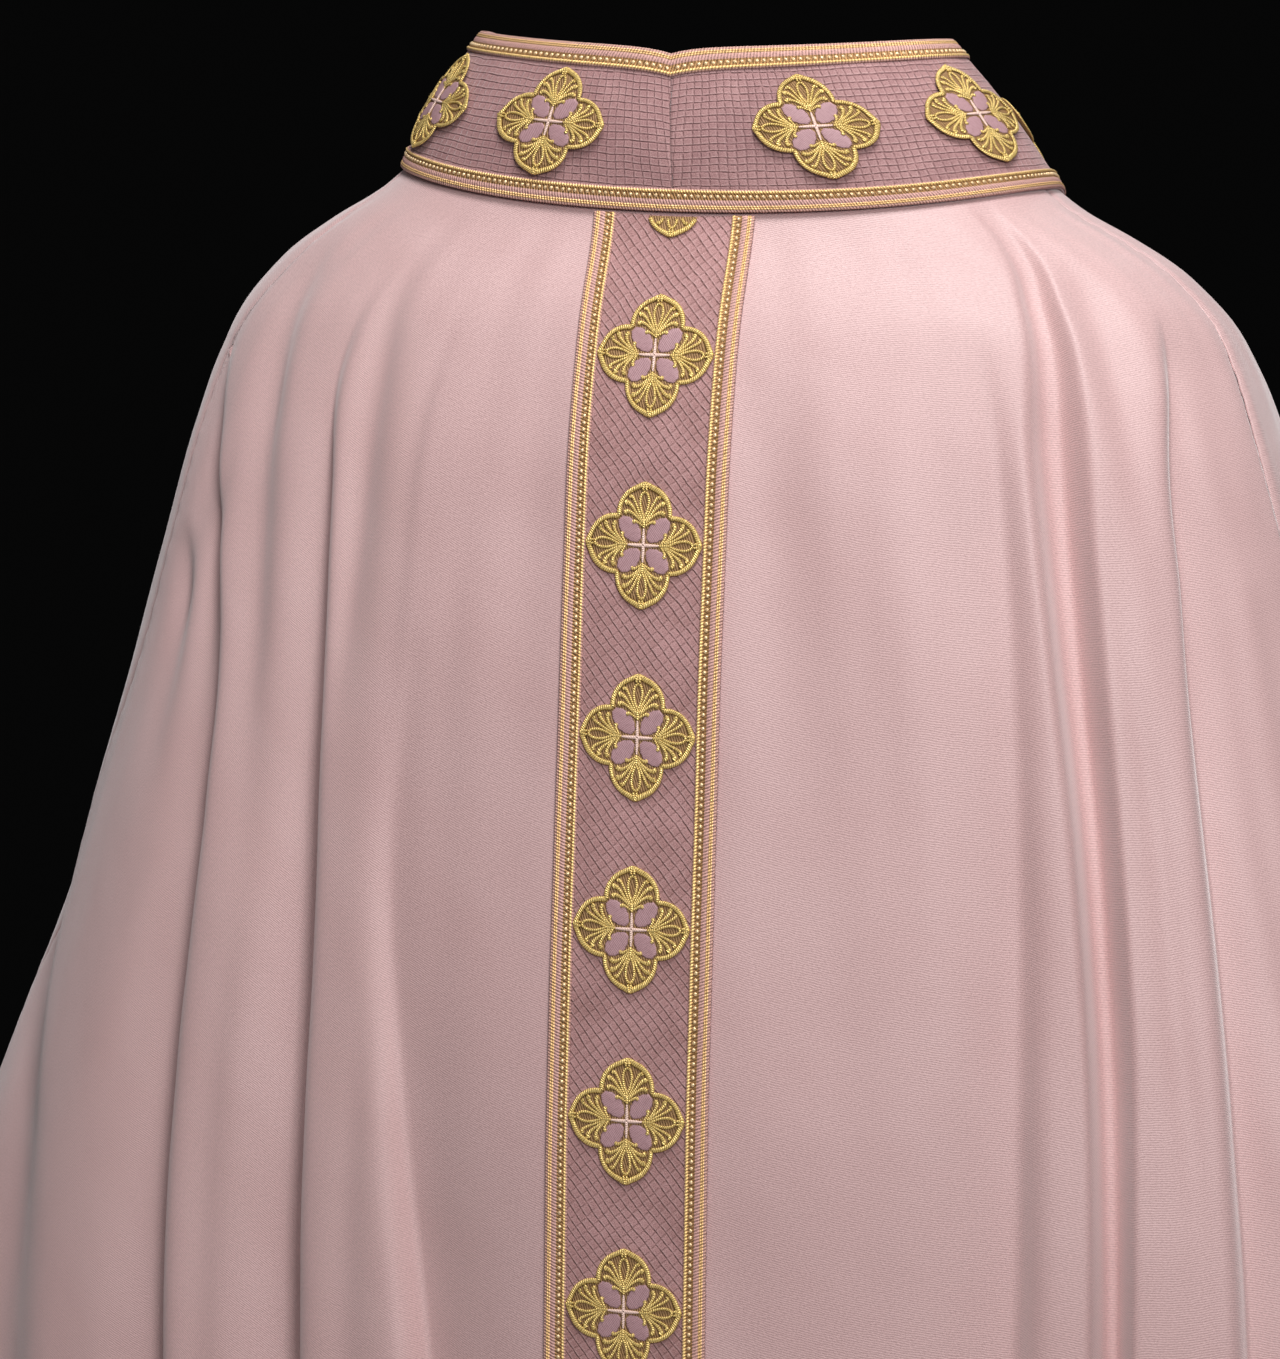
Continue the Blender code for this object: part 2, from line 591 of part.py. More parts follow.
def collar(left, right):
    """Both halves of the collar over the panels' own columns, with their braids and quatrefoils."""
    xs, ys = quatrefoil()
    end = GAP / 2 / RIM_HALF_WIDTH
    halves = ((1, "left", left, COLLAR_FIRST_LEFT), (-1, "right", right, COLLAR_FIRST_RIGHT))
    number = 0
    for side, label, turns, first in halves:
        turn = np.sort(side * np.concatenate([[end], turns, [math.pi - end]]))
        ground, way = collar_ground(turn)
        wall(f"collar_{label}", "rose_velvet", ground, ground - way * VELVET)
        middle = ground[len(COLLAR_ROWS) // 2]
        run = np.concatenate([[0], np.cumsum(np.linalg.norm(np.diff(middle, axis=0), axis=1))])
        steps = np.arange(len(run))
        for k in range(COLLAR_MOTIFS_HALF):
            number += 1
            here = first + COLLAR_PITCH * k
            here = here if side > 0 else run[-1] - here
            col = np.interp(here + xs, run, steps)
            tall = np.diff(ground[:, int(round(np.interp(here, run, steps)))], axis=0)
            heights = np.concatenate([[0], np.cumsum(np.linalg.norm(tall, axis=1))])
            row = np.interp(heights[-1] / 2 + ys * COLLAR_SQUAT, heights, np.arange(len(heights)))
            base, out = grid_at(ground, row, col), unit(grid_at(way, row, col))
            top = base + out * (MOTIF_GAP_COLLAR + MOTIF_THICK)
            disc(f"collar_motif_{number}", "gold_embroidery", top, base + out * MOTIF_GAP_COLLAR)
    ring = np.concatenate([[0], left, [math.pi], -right[::-1]])
    ground, way = collar_ground(ring)
    way[:, 0] = unit(way[:, 1] + way[:, -1])
    for place, rows in (("top", slice(0, 2)), ("foot", slice(-2, None))):
        g, w = ground[rows], way[rows]
        wall(f"collar_braid_{place}", "gold_braid", g + w * (GAP + BRAID_THICK), g + w * GAP, closed=True)


clear()
strip, left_turns, right_turns = panels()
orphrey(strip)
collar(left_turns, right_turns)
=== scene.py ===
"""Looks of a rose chasuble as it is worn, seen from behind: two draped cloth panels, a standing velvet
collar, a velvet band down the back, gold braids and embroidered quatrefoils.

The shapes follow the same tables as the solids. Lengths in the tables are in millimetres and angles in
degrees, turned from the centre back (0) through the wearer's left (90) to the centre front (180).
"""

import math

import bpy
import numpy as np
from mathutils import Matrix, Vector


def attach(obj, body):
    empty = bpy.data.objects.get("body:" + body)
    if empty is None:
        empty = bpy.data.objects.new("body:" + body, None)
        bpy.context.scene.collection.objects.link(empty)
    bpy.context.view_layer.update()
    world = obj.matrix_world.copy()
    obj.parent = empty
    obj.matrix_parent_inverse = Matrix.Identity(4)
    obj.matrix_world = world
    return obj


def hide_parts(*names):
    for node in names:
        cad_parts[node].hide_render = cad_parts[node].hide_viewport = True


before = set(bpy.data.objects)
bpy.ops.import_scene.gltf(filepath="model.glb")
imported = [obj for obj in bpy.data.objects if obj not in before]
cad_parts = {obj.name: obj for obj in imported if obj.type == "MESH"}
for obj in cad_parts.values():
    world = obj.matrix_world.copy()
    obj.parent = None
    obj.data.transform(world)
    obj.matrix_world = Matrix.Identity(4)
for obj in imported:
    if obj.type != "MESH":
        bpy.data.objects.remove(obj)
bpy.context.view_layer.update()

MM = 0.001

# Level sections of the panels, from the collar down.
# height, half width, depth behind the middle, depth in front of it
SECTIONS = (
    (20, 165, 84, 84),
    (0, 175, 91, 98),
    (-12, 190, 94, 104),
    (-26, 215, 98, 111),
    (-43, 241, 106, 120),
    (-54, 253, 112, 125),
    (-68, 266, 119, 131),
    (-96, 282, 129, 141),
    (-130, 295, 138, 150),
    (-190, 313, 147, 165),
    (-250, 330, 154, 177),
    (-313, 350, 160, 188),
    (-400, 379, 169, 200),
    (-470, 406, 175, 208),
    (-560, 442, 179, 215),
    (-650, 470, 183, 220),
    (-800, 482, 187, 224),
    (-1000, 480, 191, 226),
    (-1250, 472, 195, 228),
)
FLATNESS = 0.18
TILT = 6.0
TILT_FADE = 80.0
TILT_HALF_WIDTH = 173.0
TILT_LIMIT = 1.6
NECK_SAG_BACK = 18.0
NECK_SAG_FRONT = 45.0
HEM_SIDE = 650.0
HEM_FALL_BACK = 565.0
HEM_FALL_FRONT = 545.0
HEM_ROUNDNESS = 1.25

# Where the two panels are joined, over each shoulder and down the arm.
# height, angle
SEAM_LEFT = ((0, 74), (-41, 66), (-96, 69), (-187, 69), (-245, 70), (-336, 76), (-500, 82), (-700, 86))
SEAM_RIGHT = ((0, -84), (-60, -82), (-110, -79), (-190, -78), (-300, -80), (-500, -84), (-700, -86))

# Folds of the back: name, squareness, then rows of height, angle, depth, reach left, reach right.
FOLDS_BACK = (
    ("far_left", 2.0, (
        (-330, 84, 0, 18, 16), (-416, 75, 7, 20, 16), (-513, 62, 10, 26, 18), (-640, 54, 13, 34, 22),
        (-900, 47, 16, 40, 26))),
    ("elbow_left", 1.8, (
        (-185, 64, 0, 8, 8), (-215, 61, 6, 10, 7), (-250, 59, 5, 12, 8), (-330, 57, 0, 12, 8))),
    ("outer_left", 1.7, (
        (-85, 69, 0, 12, 6), (-144, 61, 6, 16, 5), (-235, 51.5, 10, 22, 6), (-323, 47, 13, 26, 6),
        (-423, 43.5, 15, 30, 7), (-616, 36.5, 18, 36, 8), (-900, 31, 22, 40, 12), (-1200, 27, 26, 44, 16))),
    ("shoulder_left", 1.8, (
        (-34, 58, 0, 12, 8), (-61, 55, 5, 16, 9), (-97, 52, 8, 18, 9), (-165, 48, 8, 18, 10),
        (-273, 42.5, 5, 16, 12), (-380, 38, 0, 16, 12))),
    ("deep_left", 1.6, (
        (-42, 39, 0, 12, 8), (-102, 39.8, 6, 18, 6), (-163, 37.3, 13, 24, 5), (-242, 34.5, 18, 28, 5),
        (-391, 29.8, 22, 32, 6), (-466, 27.8, 23, 34, 6), (-607, 24.6, 24, 36, 7),
        (-900, 20.5, 27, 40, 10), (-1200, 18, 30, 44, 14))),
    ("inner_left", 1.8, (
        (-40, 36, 0, 10, 10), (-95, 33, 5, 14, 10), (-139, 32.2, 7, 14, 11), (-207, 31, 5, 12, 11),
        (-290, 30, 0, 10, 10))),
    ("panel_left", 1.6, (
        (-230, 22, 0, 10, 30), (-339, 22, 5, 9, 34), (-470, 18, 10, 8, 38), (-600, 14.2, 15, 7, 40),
        (-900, 10.5, 20, 10, 44), (-1200, 8.6, 22, 14, 50))),
    ("middle_left", 2.0, (
        (-60, 13, 0, 26, 22), (-115, 11.8, 2.5, 28, 22), (-260, 10.5, 2, 28, 24), (-420, 10, 0, 28, 24))),
    ("middle_right", 2.0, (
        (-90, -11, 0, 16, 22), (-139, -12, 3, 16, 24), (-205, -13.2, 3.5, 18, 28),
        (-380, -14, 2, 24, 34), (-560, -14, 0, 24, 34))),
    ("panel_right", 1.7, (
        (-70, -35.5, 0, 20, 10), (-110, -35.8, 4, 24, 10), (-170, -35.6, 8, 26, 9),
        (-269, -34.2, 9, 28, 9), (-374, -31.7, 12, 32, 9), (-579, -26, 18, 40, 9),
        (-900, -21, 22, 44, 12), (-1200, -18, 24, 50, 16))),
    ("deep_right", 3.2, (
        (-8, -55, 0, 7, 5), (-30, -51, 4, 8, 6), (-54, -47.6, 9, 9, 7), (-94, -45.2, 14, 11, 9),
        (-129, -43.9, 18, 13, 10), (-174, -43, 21, 13, 9), (-225, -42.2, 23, 12, 9),
        (-306, -41, 24, 11, 8), (-398, -39, 24, 10, 8), (-578, -33.3, 24, 9, 7),
        (-900, -28, 26, 12, 10), (-1200, -25, 28, 18, 14))),
    ("shoulder_right", 2.0, (
        (-34, -58, 0, 10, 12), (-60, -55, 4, 12, 12), (-90, -53.6, 5, 12, 12), (-125, -53, 3, 12, 12),
        (-180, -52.5, 0, 12, 12))),
    ("outer_right", 1.6, (
        (-62, -67, 0, 5, 16), (-88, -64.8, 6, 5, 22), (-138, -60.3, 11, 5, 28), (-204, -57.9, 15, 5, 32),
        (-306, -54.3, 18, 6, 36), (-375, -52.2, 19, 6, 38), (-578, -44.4, 21, 6, 42),
        (-900, -38, 24, 10, 44), (-1200, -34, 26, 16, 46))),
    ("far_right", 2.0, (
        (-200, -72, 0, 20, 16), (-330, -69, 8, 24, 18), (-520, -62, 14, 30, 20),
        (-640, -57, 16, 34, 22), (-900, -51, 18, 36, 24))),
)

# Folds of the front, plainer, in the same columns. The angle goes on past 90 each way.
FOLDS_FRONT = (
    ("front_far_left", 2.0, (
        (-60, 104, 0, 18, 14), (-150, 108, 7, 24, 12), (-330, 113, 14, 30, 14), (-640, 119, 19, 36, 16),
        (-900, 126, 22, 40, 20))),
    ("front_outer_left", 1.8, (
        (-50, 122, 0, 16, 10), (-120, 126, 7, 22, 9), (-280, 131, 15, 28, 9), (-520, 138, 21, 34, 10),
        (-900, 145, 25, 40, 14), (-1200, 150, 28, 46, 18))),
    ("front_inner_left", 1.8, (
        (-130, 146, 0, 20, 14), (-240, 150, 7, 26, 12), (-480, 156, 14, 32, 12), (-800, 160, 19, 40, 16),
        (-1200, 163, 23, 48, 22))),
    ("front_inner_right", 1.8, (
        (-180, -150, 0, 14, 20), (-300, -154, 6, 12, 26), (-560, -159, 13, 12, 34), (-900, -163, 18, 16, 42),
        (-1200, -165, 21, 22, 48))),
    ("front_outer_right", 1.8, (
        (-58, -124, 0, 10, 16), (-140, -128, 8, 9, 22), (-300, -134, 16, 9, 28), (-600, -142, 22, 10, 36),
        (-900, -147, 25, 14, 40), (-1200, -151, 27, 18, 46))),
    ("front_far_right", 2.0, (
        (-80, -103, 0, 14, 18), (-180, -107, 8, 12, 24), (-380, -113, 15, 14, 32), (-640, -120, 20, 16, 36),
        (-900, -127, 22, 20, 40))),
)

# Small creases, laid on in the same columns, all of one squareness.
CREASES = tuple(("crease", 2.0, rows) for rows in (
    ((-60, 24, 0, 7, 5), (-120, 25.5, 1.4, 8, 5), (-210, 25, 1.0, 9, 6), (-300, 24, 0, 9, 6)),
    ((-150, 19, 0, 9, 7), (-240, 18.6, 1.2, 9, 8), (-330, 17.4, 0.9, 9, 8), (-430, 16, 0, 9, 8)),
    ((-110, -20, 0, 8, 9), (-220, -21, 1.3, 8, 10), (-350, -22, 1.1, 10, 12), (-520, -20, 0, 10, 12)),
    ((-80, -27.5, 0, 6, 8), (-150, -29, 1.7, 6, 9), (-260, -28.4, 1.2, 7, 9), (-360, -27, 0, 7, 9)),
    ((-130, 56, 0, 6, 5), (-190, 55, 1.8, 7, 5), (-280, 51.5, 1.2, 8, 6), (-370, 50, 0, 8, 6)),
    ((-360, 38, 0, 9, 7), (-450, 36.5, 2.0, 10, 8), (-560, 33.2, 2.4, 12, 8), (-760, 29, 0, 12, 8)),
    ((-420, 22.5, 0, 8, 9), (-500, 21.4, 1.6, 9, 9), (-620, 19.4, 1.8, 11, 10), (-860, 15, 0, 11, 10)),
    ((-200, -47.5, 0, 6, 5), (-300, -47.2, 1.9, 7, 6), (-430, -44.5, 2.2, 8, 7), (-620, -39, 0, 8, 7)),
    ((-170, -66.5, 0, 8, 8), (-270, -63, 1.9, 9, 8), (-400, -60, 2.1, 10, 9), (-560, -54, 0, 12, 9)),
    ((-540, 47, 0, 12, 9), (-680, 43, 2.6, 14, 10), (-880, 38, 2.2, 16, 12), (-1100, 35, 0, 16, 12)),
    ((-640, -8, 0, 12, 12), (-800, -9, 2.2, 14, 14), (-1000, -10, 2.6, 16, 16), (-1240, -10, 1.5, 18, 18)),
    ((-640, 1.5, 0, 14, 14), (-820, 2.4, 1.8, 16, 16), (-1040, 3, 2.4, 18, 18), (-1240, 3, 1.8, 18, 18)),
    ((-90, 112, 0, 8, 8), (-190, 117, 1.9, 9, 9), (-340, 122, 2.2, 10, 9), (-560, 129, 0, 12, 10)),
    ((-150, 136, 0, 8, 9), (-270, 142, 2.0, 9, 9), (-430, 147, 1.6, 10, 9), (-640, 150, 0, 12, 10)),
    ((-210, 170, 0, 12, 9), (-330, 171, 1.7, 12, 10), (-520, 172, 2.3, 14, 12), (-860, 174, 0, 16, 12)),
    ((-160, -140, 0, 9, 8), (-280, -145, 2.1, 9, 9), (-460, -150, 1.8, 11, 9), (-700, -155, 0, 12, 10)),
    ((-120, -113, 0, 8, 8), (-240, -119, 2.3, 9, 9), (-420, -126, 1.9, 10, 9), (-640, -132, 0, 12, 10)),
    ((-280, -174, 0, 10, 12), (-450, -175, 1.9, 10, 12), (-700, -176, 2.4, 12, 16), (-1000, -177, 0, 12, 16)),
))

# The collar leans in from the neckline to its rim.
RIM_MIDDLE = (4.0, 10.0)
RIM_HALF_WIDTH = 126.0
RIM_DEPTH_BACK = 78.0
RIM_DEPTH_FRONT = 70.0
RIM_HEIGHT = 73.0
RIM_TILT = 3.0
RIM_SAG_BACK = 7.0
RIM_SAG_FRONT = 50.0
RIM_NOTCH = 4.0
RIM_NOTCH_WIDTH = 6.0
COLLAR_BULGE = 4.0
COLLAR_OUT = 2.0

CLOTH = 1.9
VELVET = 2.2
GAP = 0.3
BAND_HALF = 42.5
BAND_FOOT = 0.3
BAND_TOP = 1.5
BAND_START = 2.2
BRAID_WIDE = 11.8
BRAID_FOOT = 1.75
BRAID_TAPE = 0.6
MOTIF_FOOT = 1.75

# Across a braid from its inner edge: where, and how high it stands on its tape.
BRAID_PROFILE = (
    (0.0, 0.0), (0.25, 0.1), (0.55, 0.14), (0.75, 0.45), (1.1, 0.72), (1.45, 0.72), (1.8, 0.45), (2.0, 0.08),
    (2.4, 0.0), (5.4, 0.0), (5.7, 0.1), (6.4, 0.3), (7.1, 0.36), (7.8, 0.28), (8.3, 0.1), (8.45, 0.12),
    (8.65, 0.42), (8.95, 0.5), (9.25, 0.36), (9.4, 0.18), (9.55, 0.36), (9.85, 0.5), (10.15, 0.42),
    (10.35, 0.12), (10.9, 0.16), (11.4, 0.12), (11.8, 0.0),
)
BEAD_LINE = 3.75
BEAD_PITCH = 3.5
BEAD_ROUND = 1.1
BEAD_HIGH = 0.85

# The quatrefoil, from its middle: v runs out along an arm and u to the side.
LOBE_OFF = 15.7
LOBE_ROUND = 13.9
OUTLINE_WIDE = 2.7
OUTLINE_HIGH = 1.15
ORPHREY_MOTIFS = 13
ORPHREY_FIRST = -17.5
ORPHREY_PITCH = 96.4
ORPHREY_SLIM = 0.955
COLLAR_SQUAT = 0.94
COLLAR_MOTIFS_HALF = 4
COLLAR_FIRST_LEFT = 67.0
COLLAR_FIRST_RIGHT = 75.0
COLLAR_PITCH = 88.0

# How the shapes are cut into points.
SMALL_TURN = 0.004
SMALL_FALL = 0.8
COLUMN_CROWDING = 0.6
COLUMNS_APART = math.radians(1.1)
EDGE_PASSES = 14
FINE_STEPS = 241
FINE_CROWDING = 1.5
CLOTH_CROWDING = 1.15
CLOTH_ROWS_BACK = 152
CLOTH_ROWS_FRONT = 112
BAND_COLUMNS = 29
BAND_ROWS = 330
BAND_END = 0.6
BRAID_STEP = 1.9
BEAD_SIDES = 8
COLLAR_COLUMNS = 221
COLLAR_ROWS = 33
SEAT = 0.05
BRAID_SEAT = 0.1
STROKE_LIFT = 0.2


def cubic(t, value, following, slope, following_slope):
    """Between two values at t from 0 to 1, with their slopes over that step."""
    low = (2 * t**3 - 3 * t**2 + 1) * value + (t**3 - 2 * t**2 + t) * slope
    return low + (3 * t**2 - 2 * t**3) * following + (t**3 - t**2) * following_slope


def along(rows, height, column):
    """Value of a table's column at a height: a cubic through the rows, with the slopes between neighbours."""
    table = np.array(rows, float)[::-1]
    x, y = table[:, 0], table[:, column]
    slope = np.gradient(y, x)
    h = np.clip(np.asarray(height, float), x[0], x[-1])
    i = np.clip(np.searchsorted(x, h) - 1, 0, len(x) - 2)
    gap = x[i + 1] - x[i]
    return cubic((h - x[i]) / gap, y[i], y[i + 1], gap * slope[i], gap * slope[i + 1])


def running(points):
    """Running length along a line of points."""
    return np.concatenate([[0], np.cumsum(np.linalg.norm(np.diff(points, axis=0), axis=1))])


def unit(v):
    return v / np.linalg.norm(v, axis=-1, keepdims=True)


def neck(angle):
    """Height of the neckline: it sags with the square of the cosine, more at the front."""
    c = np.cos(angle)
    return -NECK_SAG_BACK * np.maximum(c, 0) ** 2 - NECK_SAG_FRONT * np.maximum(-c, 0) ** 2


def hem(angle):
    """Height of the hem: it falls from the arms with a power of the cosine."""
    c = np.cos(angle)
    fall = np.where(c > 0, HEM_FALL_BACK, HEM_FALL_FRONT)
    return -HEM_SIDE - fall * np.abs(c) ** HEM_ROUNDNESS


def form(angle, height):
    """The garment without its folds: a flattened ellipse at each height, lifted a little on the wearer's left."""
    s, c = np.sin(angle), np.cos(angle)
    x = along(SECTIONS, height, 1) * s
    deep = np.where(c > 0, along(SECTIONS, height, 2), along(SECTIONS, height, 3))
    y = deep * c * (1 + FLATNESS * s * s)
    lift = TILT * np.clip(x / TILT_HALF_WIDTH, -TILT_LIMIT, TILT_LIMIT) * np.exp(np.minimum(height, 0) / TILT_FADE)
    return np.stack([x, y, height + lift], -1)


def outward(angle, height):
    """Direction square to the form: the cross product of its two small steps."""
    across = form(angle + SMALL_TURN, height) - form(angle - SMALL_TURN, height)
    down = form(angle, height - SMALL_FALL) - form(angle, height + SMALL_FALL)
    return unit(np.cross(across, down))


def span(angle, height):
    """Millimetres along a level section for one radian of angle."""
    step = form(angle + SMALL_TURN, height) - form(angle - SMALL_TURN, height)
    return np.linalg.norm(step, axis=-1) / (2 * SMALL_TURN)


def fold_depth(angle, height, tables):
    """Sum over the folds of depth times exp(-(distance over reach) to the power of squareness)."""
    wide = span(angle, height)
    total = np.zeros(np.shape(angle))
    for _, squareness, rows in tables:
        line = np.radians(along(rows, height, 1))
        deep = np.maximum(along(rows, height, 2), 0)
        off = ((angle - line + math.pi) % (2 * math.pi) - math.pi) * wide
        reach = np.where(off > 0, along(rows, height, 3), along(rows, height, 4))
        total = total + deep * np.exp(-np.abs(off / reach) ** squareness)
    return total


def waves(angle, height):
    """The cloth's slow unevenness: a few long sine waves that cross one another, under a millimetre high."""
    a, h = np.degrees(angle), height / 100
    total = 0.5 * np.sin(0.31 * a + 0.9 * h) * np.sin(0.11 * a - 1.7 * h + 0.6)
    total += 0.35 * np.sin(0.53 * a - 1.3 * h + 2.1) * np.sin(0.23 * a + 2.3 * h)
    return total + 0.22 * np.sin(0.97 * a + 2.9 * h + 0.4) * np.sin(0.19 * a - 3.7 * h)


def skin(angle, height, lift=0.0):
    """A point of the cloth's outside: the form moved in by its folds and creases, or this far out from it."""
    small = fold_depth(angle, height, CREASES) + waves(angle, height)
    calm = 1 - np.exp(-((height - neck(angle)) / 16) ** 2)
    move = lift - fold_depth(angle, height, FOLDS_BACK + FOLDS_FRONT) - small * calm
    return form(angle, height) + outward(angle, height) * move[..., None]


def line_angle(rows, height):
    return np.radians(along(rows, height, 1))


def fold_guide(name, shift=0.0):
    rows = next(r for n, _, r in FOLDS_BACK + FOLDS_FRONT if n == name)
    return lambda height: line_angle(rows, height) + shift / along(SECTIONS, height, 1)


def band_guide(across):
    return lambda height: np.arcsin(across / along(SECTIONS, height, 1))


def seam_guide(rows, shift):
    def guide(height):
        line = line_angle(rows, height)
        return line + shift / span(line, height)

    return guide


def turned(guide):
    return lambda height: guide(height) + 2 * math.pi


def column_lines(guides, counts, height):
    """Angles of all columns at these heights: the guides in order, with columns gathered near each.

    Between two guides the k-th column of n lies at t - crowding sin(2 pi t) / (2 pi), with t = k / n."""
    lines = [g(height) for g in guides]
    for k in range(1, len(lines) - 1):
        lines[k] = np.maximum(lines[k], lines[k - 1] + COLUMNS_APART)
    for k in range(len(lines) - 2, 0, -1):
        lines[k] = np.minimum(lines[k], lines[k + 1] - COLUMNS_APART)
    out = [lines[0]]
    for left, right, count in zip(lines[:-1], lines[1:], counts):
        for k in range(1, count + 1):
            t = k / count
            t = t - COLUMN_CROWDING * math.sin(2 * math.pi * t) / (2 * math.pi)
            out.append(left + (right - left) * t)
    return np.stack(out, -1)


def panel_grid(guides, counts, rows, crowding=CLOTH_CROWDING):
    """Angles and heights of a panel's points: each column from the neckline to the hem, cut into rows of
    even length along the form, a little closer at the top."""
    n = sum(counts) + 1
    own = np.arange(n)
    top, low = np.full(n, -14.0), np.full(n, -900.0)
    for _ in range(EDGE_PASSES):
        top = neck(column_lines(guides, counts, top)[own, own])
        low = hem(column_lines(guides, counts, low)[own, own])
    t = np.linspace(0, 1, FINE_STEPS)[:, None] ** FINE_CROWDING
    z = top + (low - top) * t
    a = np.stack([column_lines(guides, counts, z[:, k])[:, k] for k in range(n)], 1)
    run = lengths(form(a, z), 0)
    share = np.linspace(0, 1, rows + 1) ** crowding
    return [np.stack([np.interp(run[-1, k] * share, run[:, k], of[:, k]) for k in range(n)], 1) for of in (a, z)]


def lengths(grid, axis):
    """Running length of a grid of points along an axis."""
    step = np.linalg.norm(np.diff(grid, axis=axis), axis=2)
    first = np.zeros((1, grid.shape[1]) if axis == 0 else (grid.shape[0], 1))
    return np.cumsum(np.concatenate([first, step], axis=axis), axis=axis)


def grid_normals(grid):
    """Directions square to a grid: the cross product of its steps across and down."""
    return unit(np.cross(np.gradient(grid, axis=1), np.gradient(grid, axis=0)))


def at(grid, row, col):
    """A grid's value at a fractional row and column, straight between the four points round it."""
    r = np.clip(np.floor(row).astype(int), 0, grid.shape[0] - 2)
    c = np.clip(np.floor(col).astype(int), 0, grid.shape[1] - 2)
    t, u = (row - r)[..., None], (col - c)[..., None]
    low = grid[r, c] * (1 - u) + grid[r, c + 1] * u
    return low * (1 - t) + (grid[r + 1, c] * (1 - u) + grid[r + 1, c + 1] * u) * t


class Surface:
    """A fine grid of points with the direction out of each, read at (across, down) in millimetres."""

    def __init__(self, points, across, down, way=None):
        self.points, self.across, self.down = points, across, down
        self.way = grid_normals(points) if way is None else way

    def place(self, x, y, lift):
        """Point at x across and y down, lift out from the surface."""
        x, y, lift = np.broadcast_arrays(x, y, lift)
        col = np.interp(x, self.across, np.arange(len(self.across)))
        row = np.interp(y, self.down, np.arange(len(self.down)))
        return at(self.points, row, col) + unit(at(self.way, row, col)) * lift[..., None]


def band_surface():
    """The back panel's outside under the band: columns at even steps across, rows at even runs down."""
    steps = np.linspace(-BAND_HALF, BAND_HALF, BAND_COLUMNS)
    guides = [band_guide(steps[0]), band_guide(steps[-1])]
    angle, height = panel_grid(guides, [BAND_COLUMNS - 1], 480, 1.0)
    angle = np.arcsin(steps / along(SECTIONS, height, 1))
    points = skin(angle, height)
    return Surface(points, steps, lengths(points, 0)[:, BAND_COLUMNS // 2])


def neck_side(angle):
    """Level direction square to the neckline, away from the wearer."""
    da = 0.01
    step = skin(angle + da, neck(angle + da)) - skin(angle - da, neck(angle - da))
    return unit(np.stack([-step[..., 1], step[..., 0], 0 * step[..., 0]], -1))


def collar_point(angle, up):
    """The collar's outside: straight from the neckline (0) to the rim (1), with a slight bulge between."""
    s, c = np.sin(angle), np.cos(angle)
    side = unit(np.stack([s * RIM_DEPTH_BACK, c * RIM_HALF_WIDTH, 0 * s], -1))
    foot = skin(angle, neck(angle)) + neck_side(angle) * COLLAR_OUT + np.array([0, 0, GAP + SEAT])
    deep = np.where(c > 0, RIM_DEPTH_BACK, RIM_DEPTH_FRONT)
    from_back = np.abs(np.degrees((angle + math.pi) % (2 * math.pi) - math.pi))
    notch = RIM_NOTCH * np.exp(-from_back / RIM_NOTCH_WIDTH)
    z = RIM_HEIGHT + RIM_TILT * s - RIM_SAG_BACK * np.maximum(c, 0) ** 2
    z = z - RIM_SAG_FRONT * np.maximum(-c, 0) ** 2 - notch
    rim = np.stack([RIM_MIDDLE[0] + RIM_HALF_WIDTH * s, RIM_MIDDLE[1] + deep * c, z], -1)
    u = np.asarray(up)[..., None]
    dent = 0.5 * np.sin(5.3 * angle + 1.1) * np.sin(2.9 * up + 0.4)
    dent = dent + 0.35 * np.sin(11.7 * angle) * np.sin(5.1 * up)
    return foot * (1 - u) + rim * u + side * (COLLAR_BULGE + dent[..., None]) * np.sin(math.pi * u)


def collar_surface(side):
    """One half of the collar from the centre back (0 across) to the centre front; 0 down at the rim."""
    turn = np.linspace(0, math.pi, 721)
    middle = collar_point(side * turn, np.full(turn.shape, 0.5))
    run = running(middle)
    across = np.linspace(0, run[-1], COLLAR_COLUMNS)
    turn = side * np.interp(across, run, turn)
    order = 1 if side > 0 else -1
    angle, up = np.meshgrid(turn[::order], np.linspace(1, 0, COLLAR_ROWS))
    points = collar_point(angle, up)
    down = np.linspace(0, 1, COLLAR_ROWS) * lengths(points, 0)[-1].mean()
    return Surface(points, (side * across)[::order], down)


def edge_surface(up_edge, up_way):
    """The collar's outside along one edge, all round: a braid's width from its inner edge (0 down) to the
    rim or the foot, with the run along that edge across."""
    angle = np.linspace(0, 2 * math.pi, 1201)
    foot, rim = collar_point(angle, 0 * angle), collar_point(angle, 0 * angle + 1)
    tall = np.linalg.norm(rim - foot, axis=-1)
    w = np.linspace(0, BRAID_WIDE, 9)[:, None]
    up = up_edge + up_way * (BRAID_WIDE - w) / tall
    points = collar_point(np.broadcast_to(angle, up.shape), up)
    way = grid_normals(points)
    middle = points - np.array([RIM_MIDDLE[0], RIM_MIDDLE[1], 0])
    way = way * np.sign(np.sum(way[..., :2] * middle[..., :2], axis=-1))[..., None]
    way[:, 0] = way[:, -1] = unit(way[:, 1] + way[:, -2])
    return Surface(points, running(rim if up_edge else foot), w[:, 0], way)


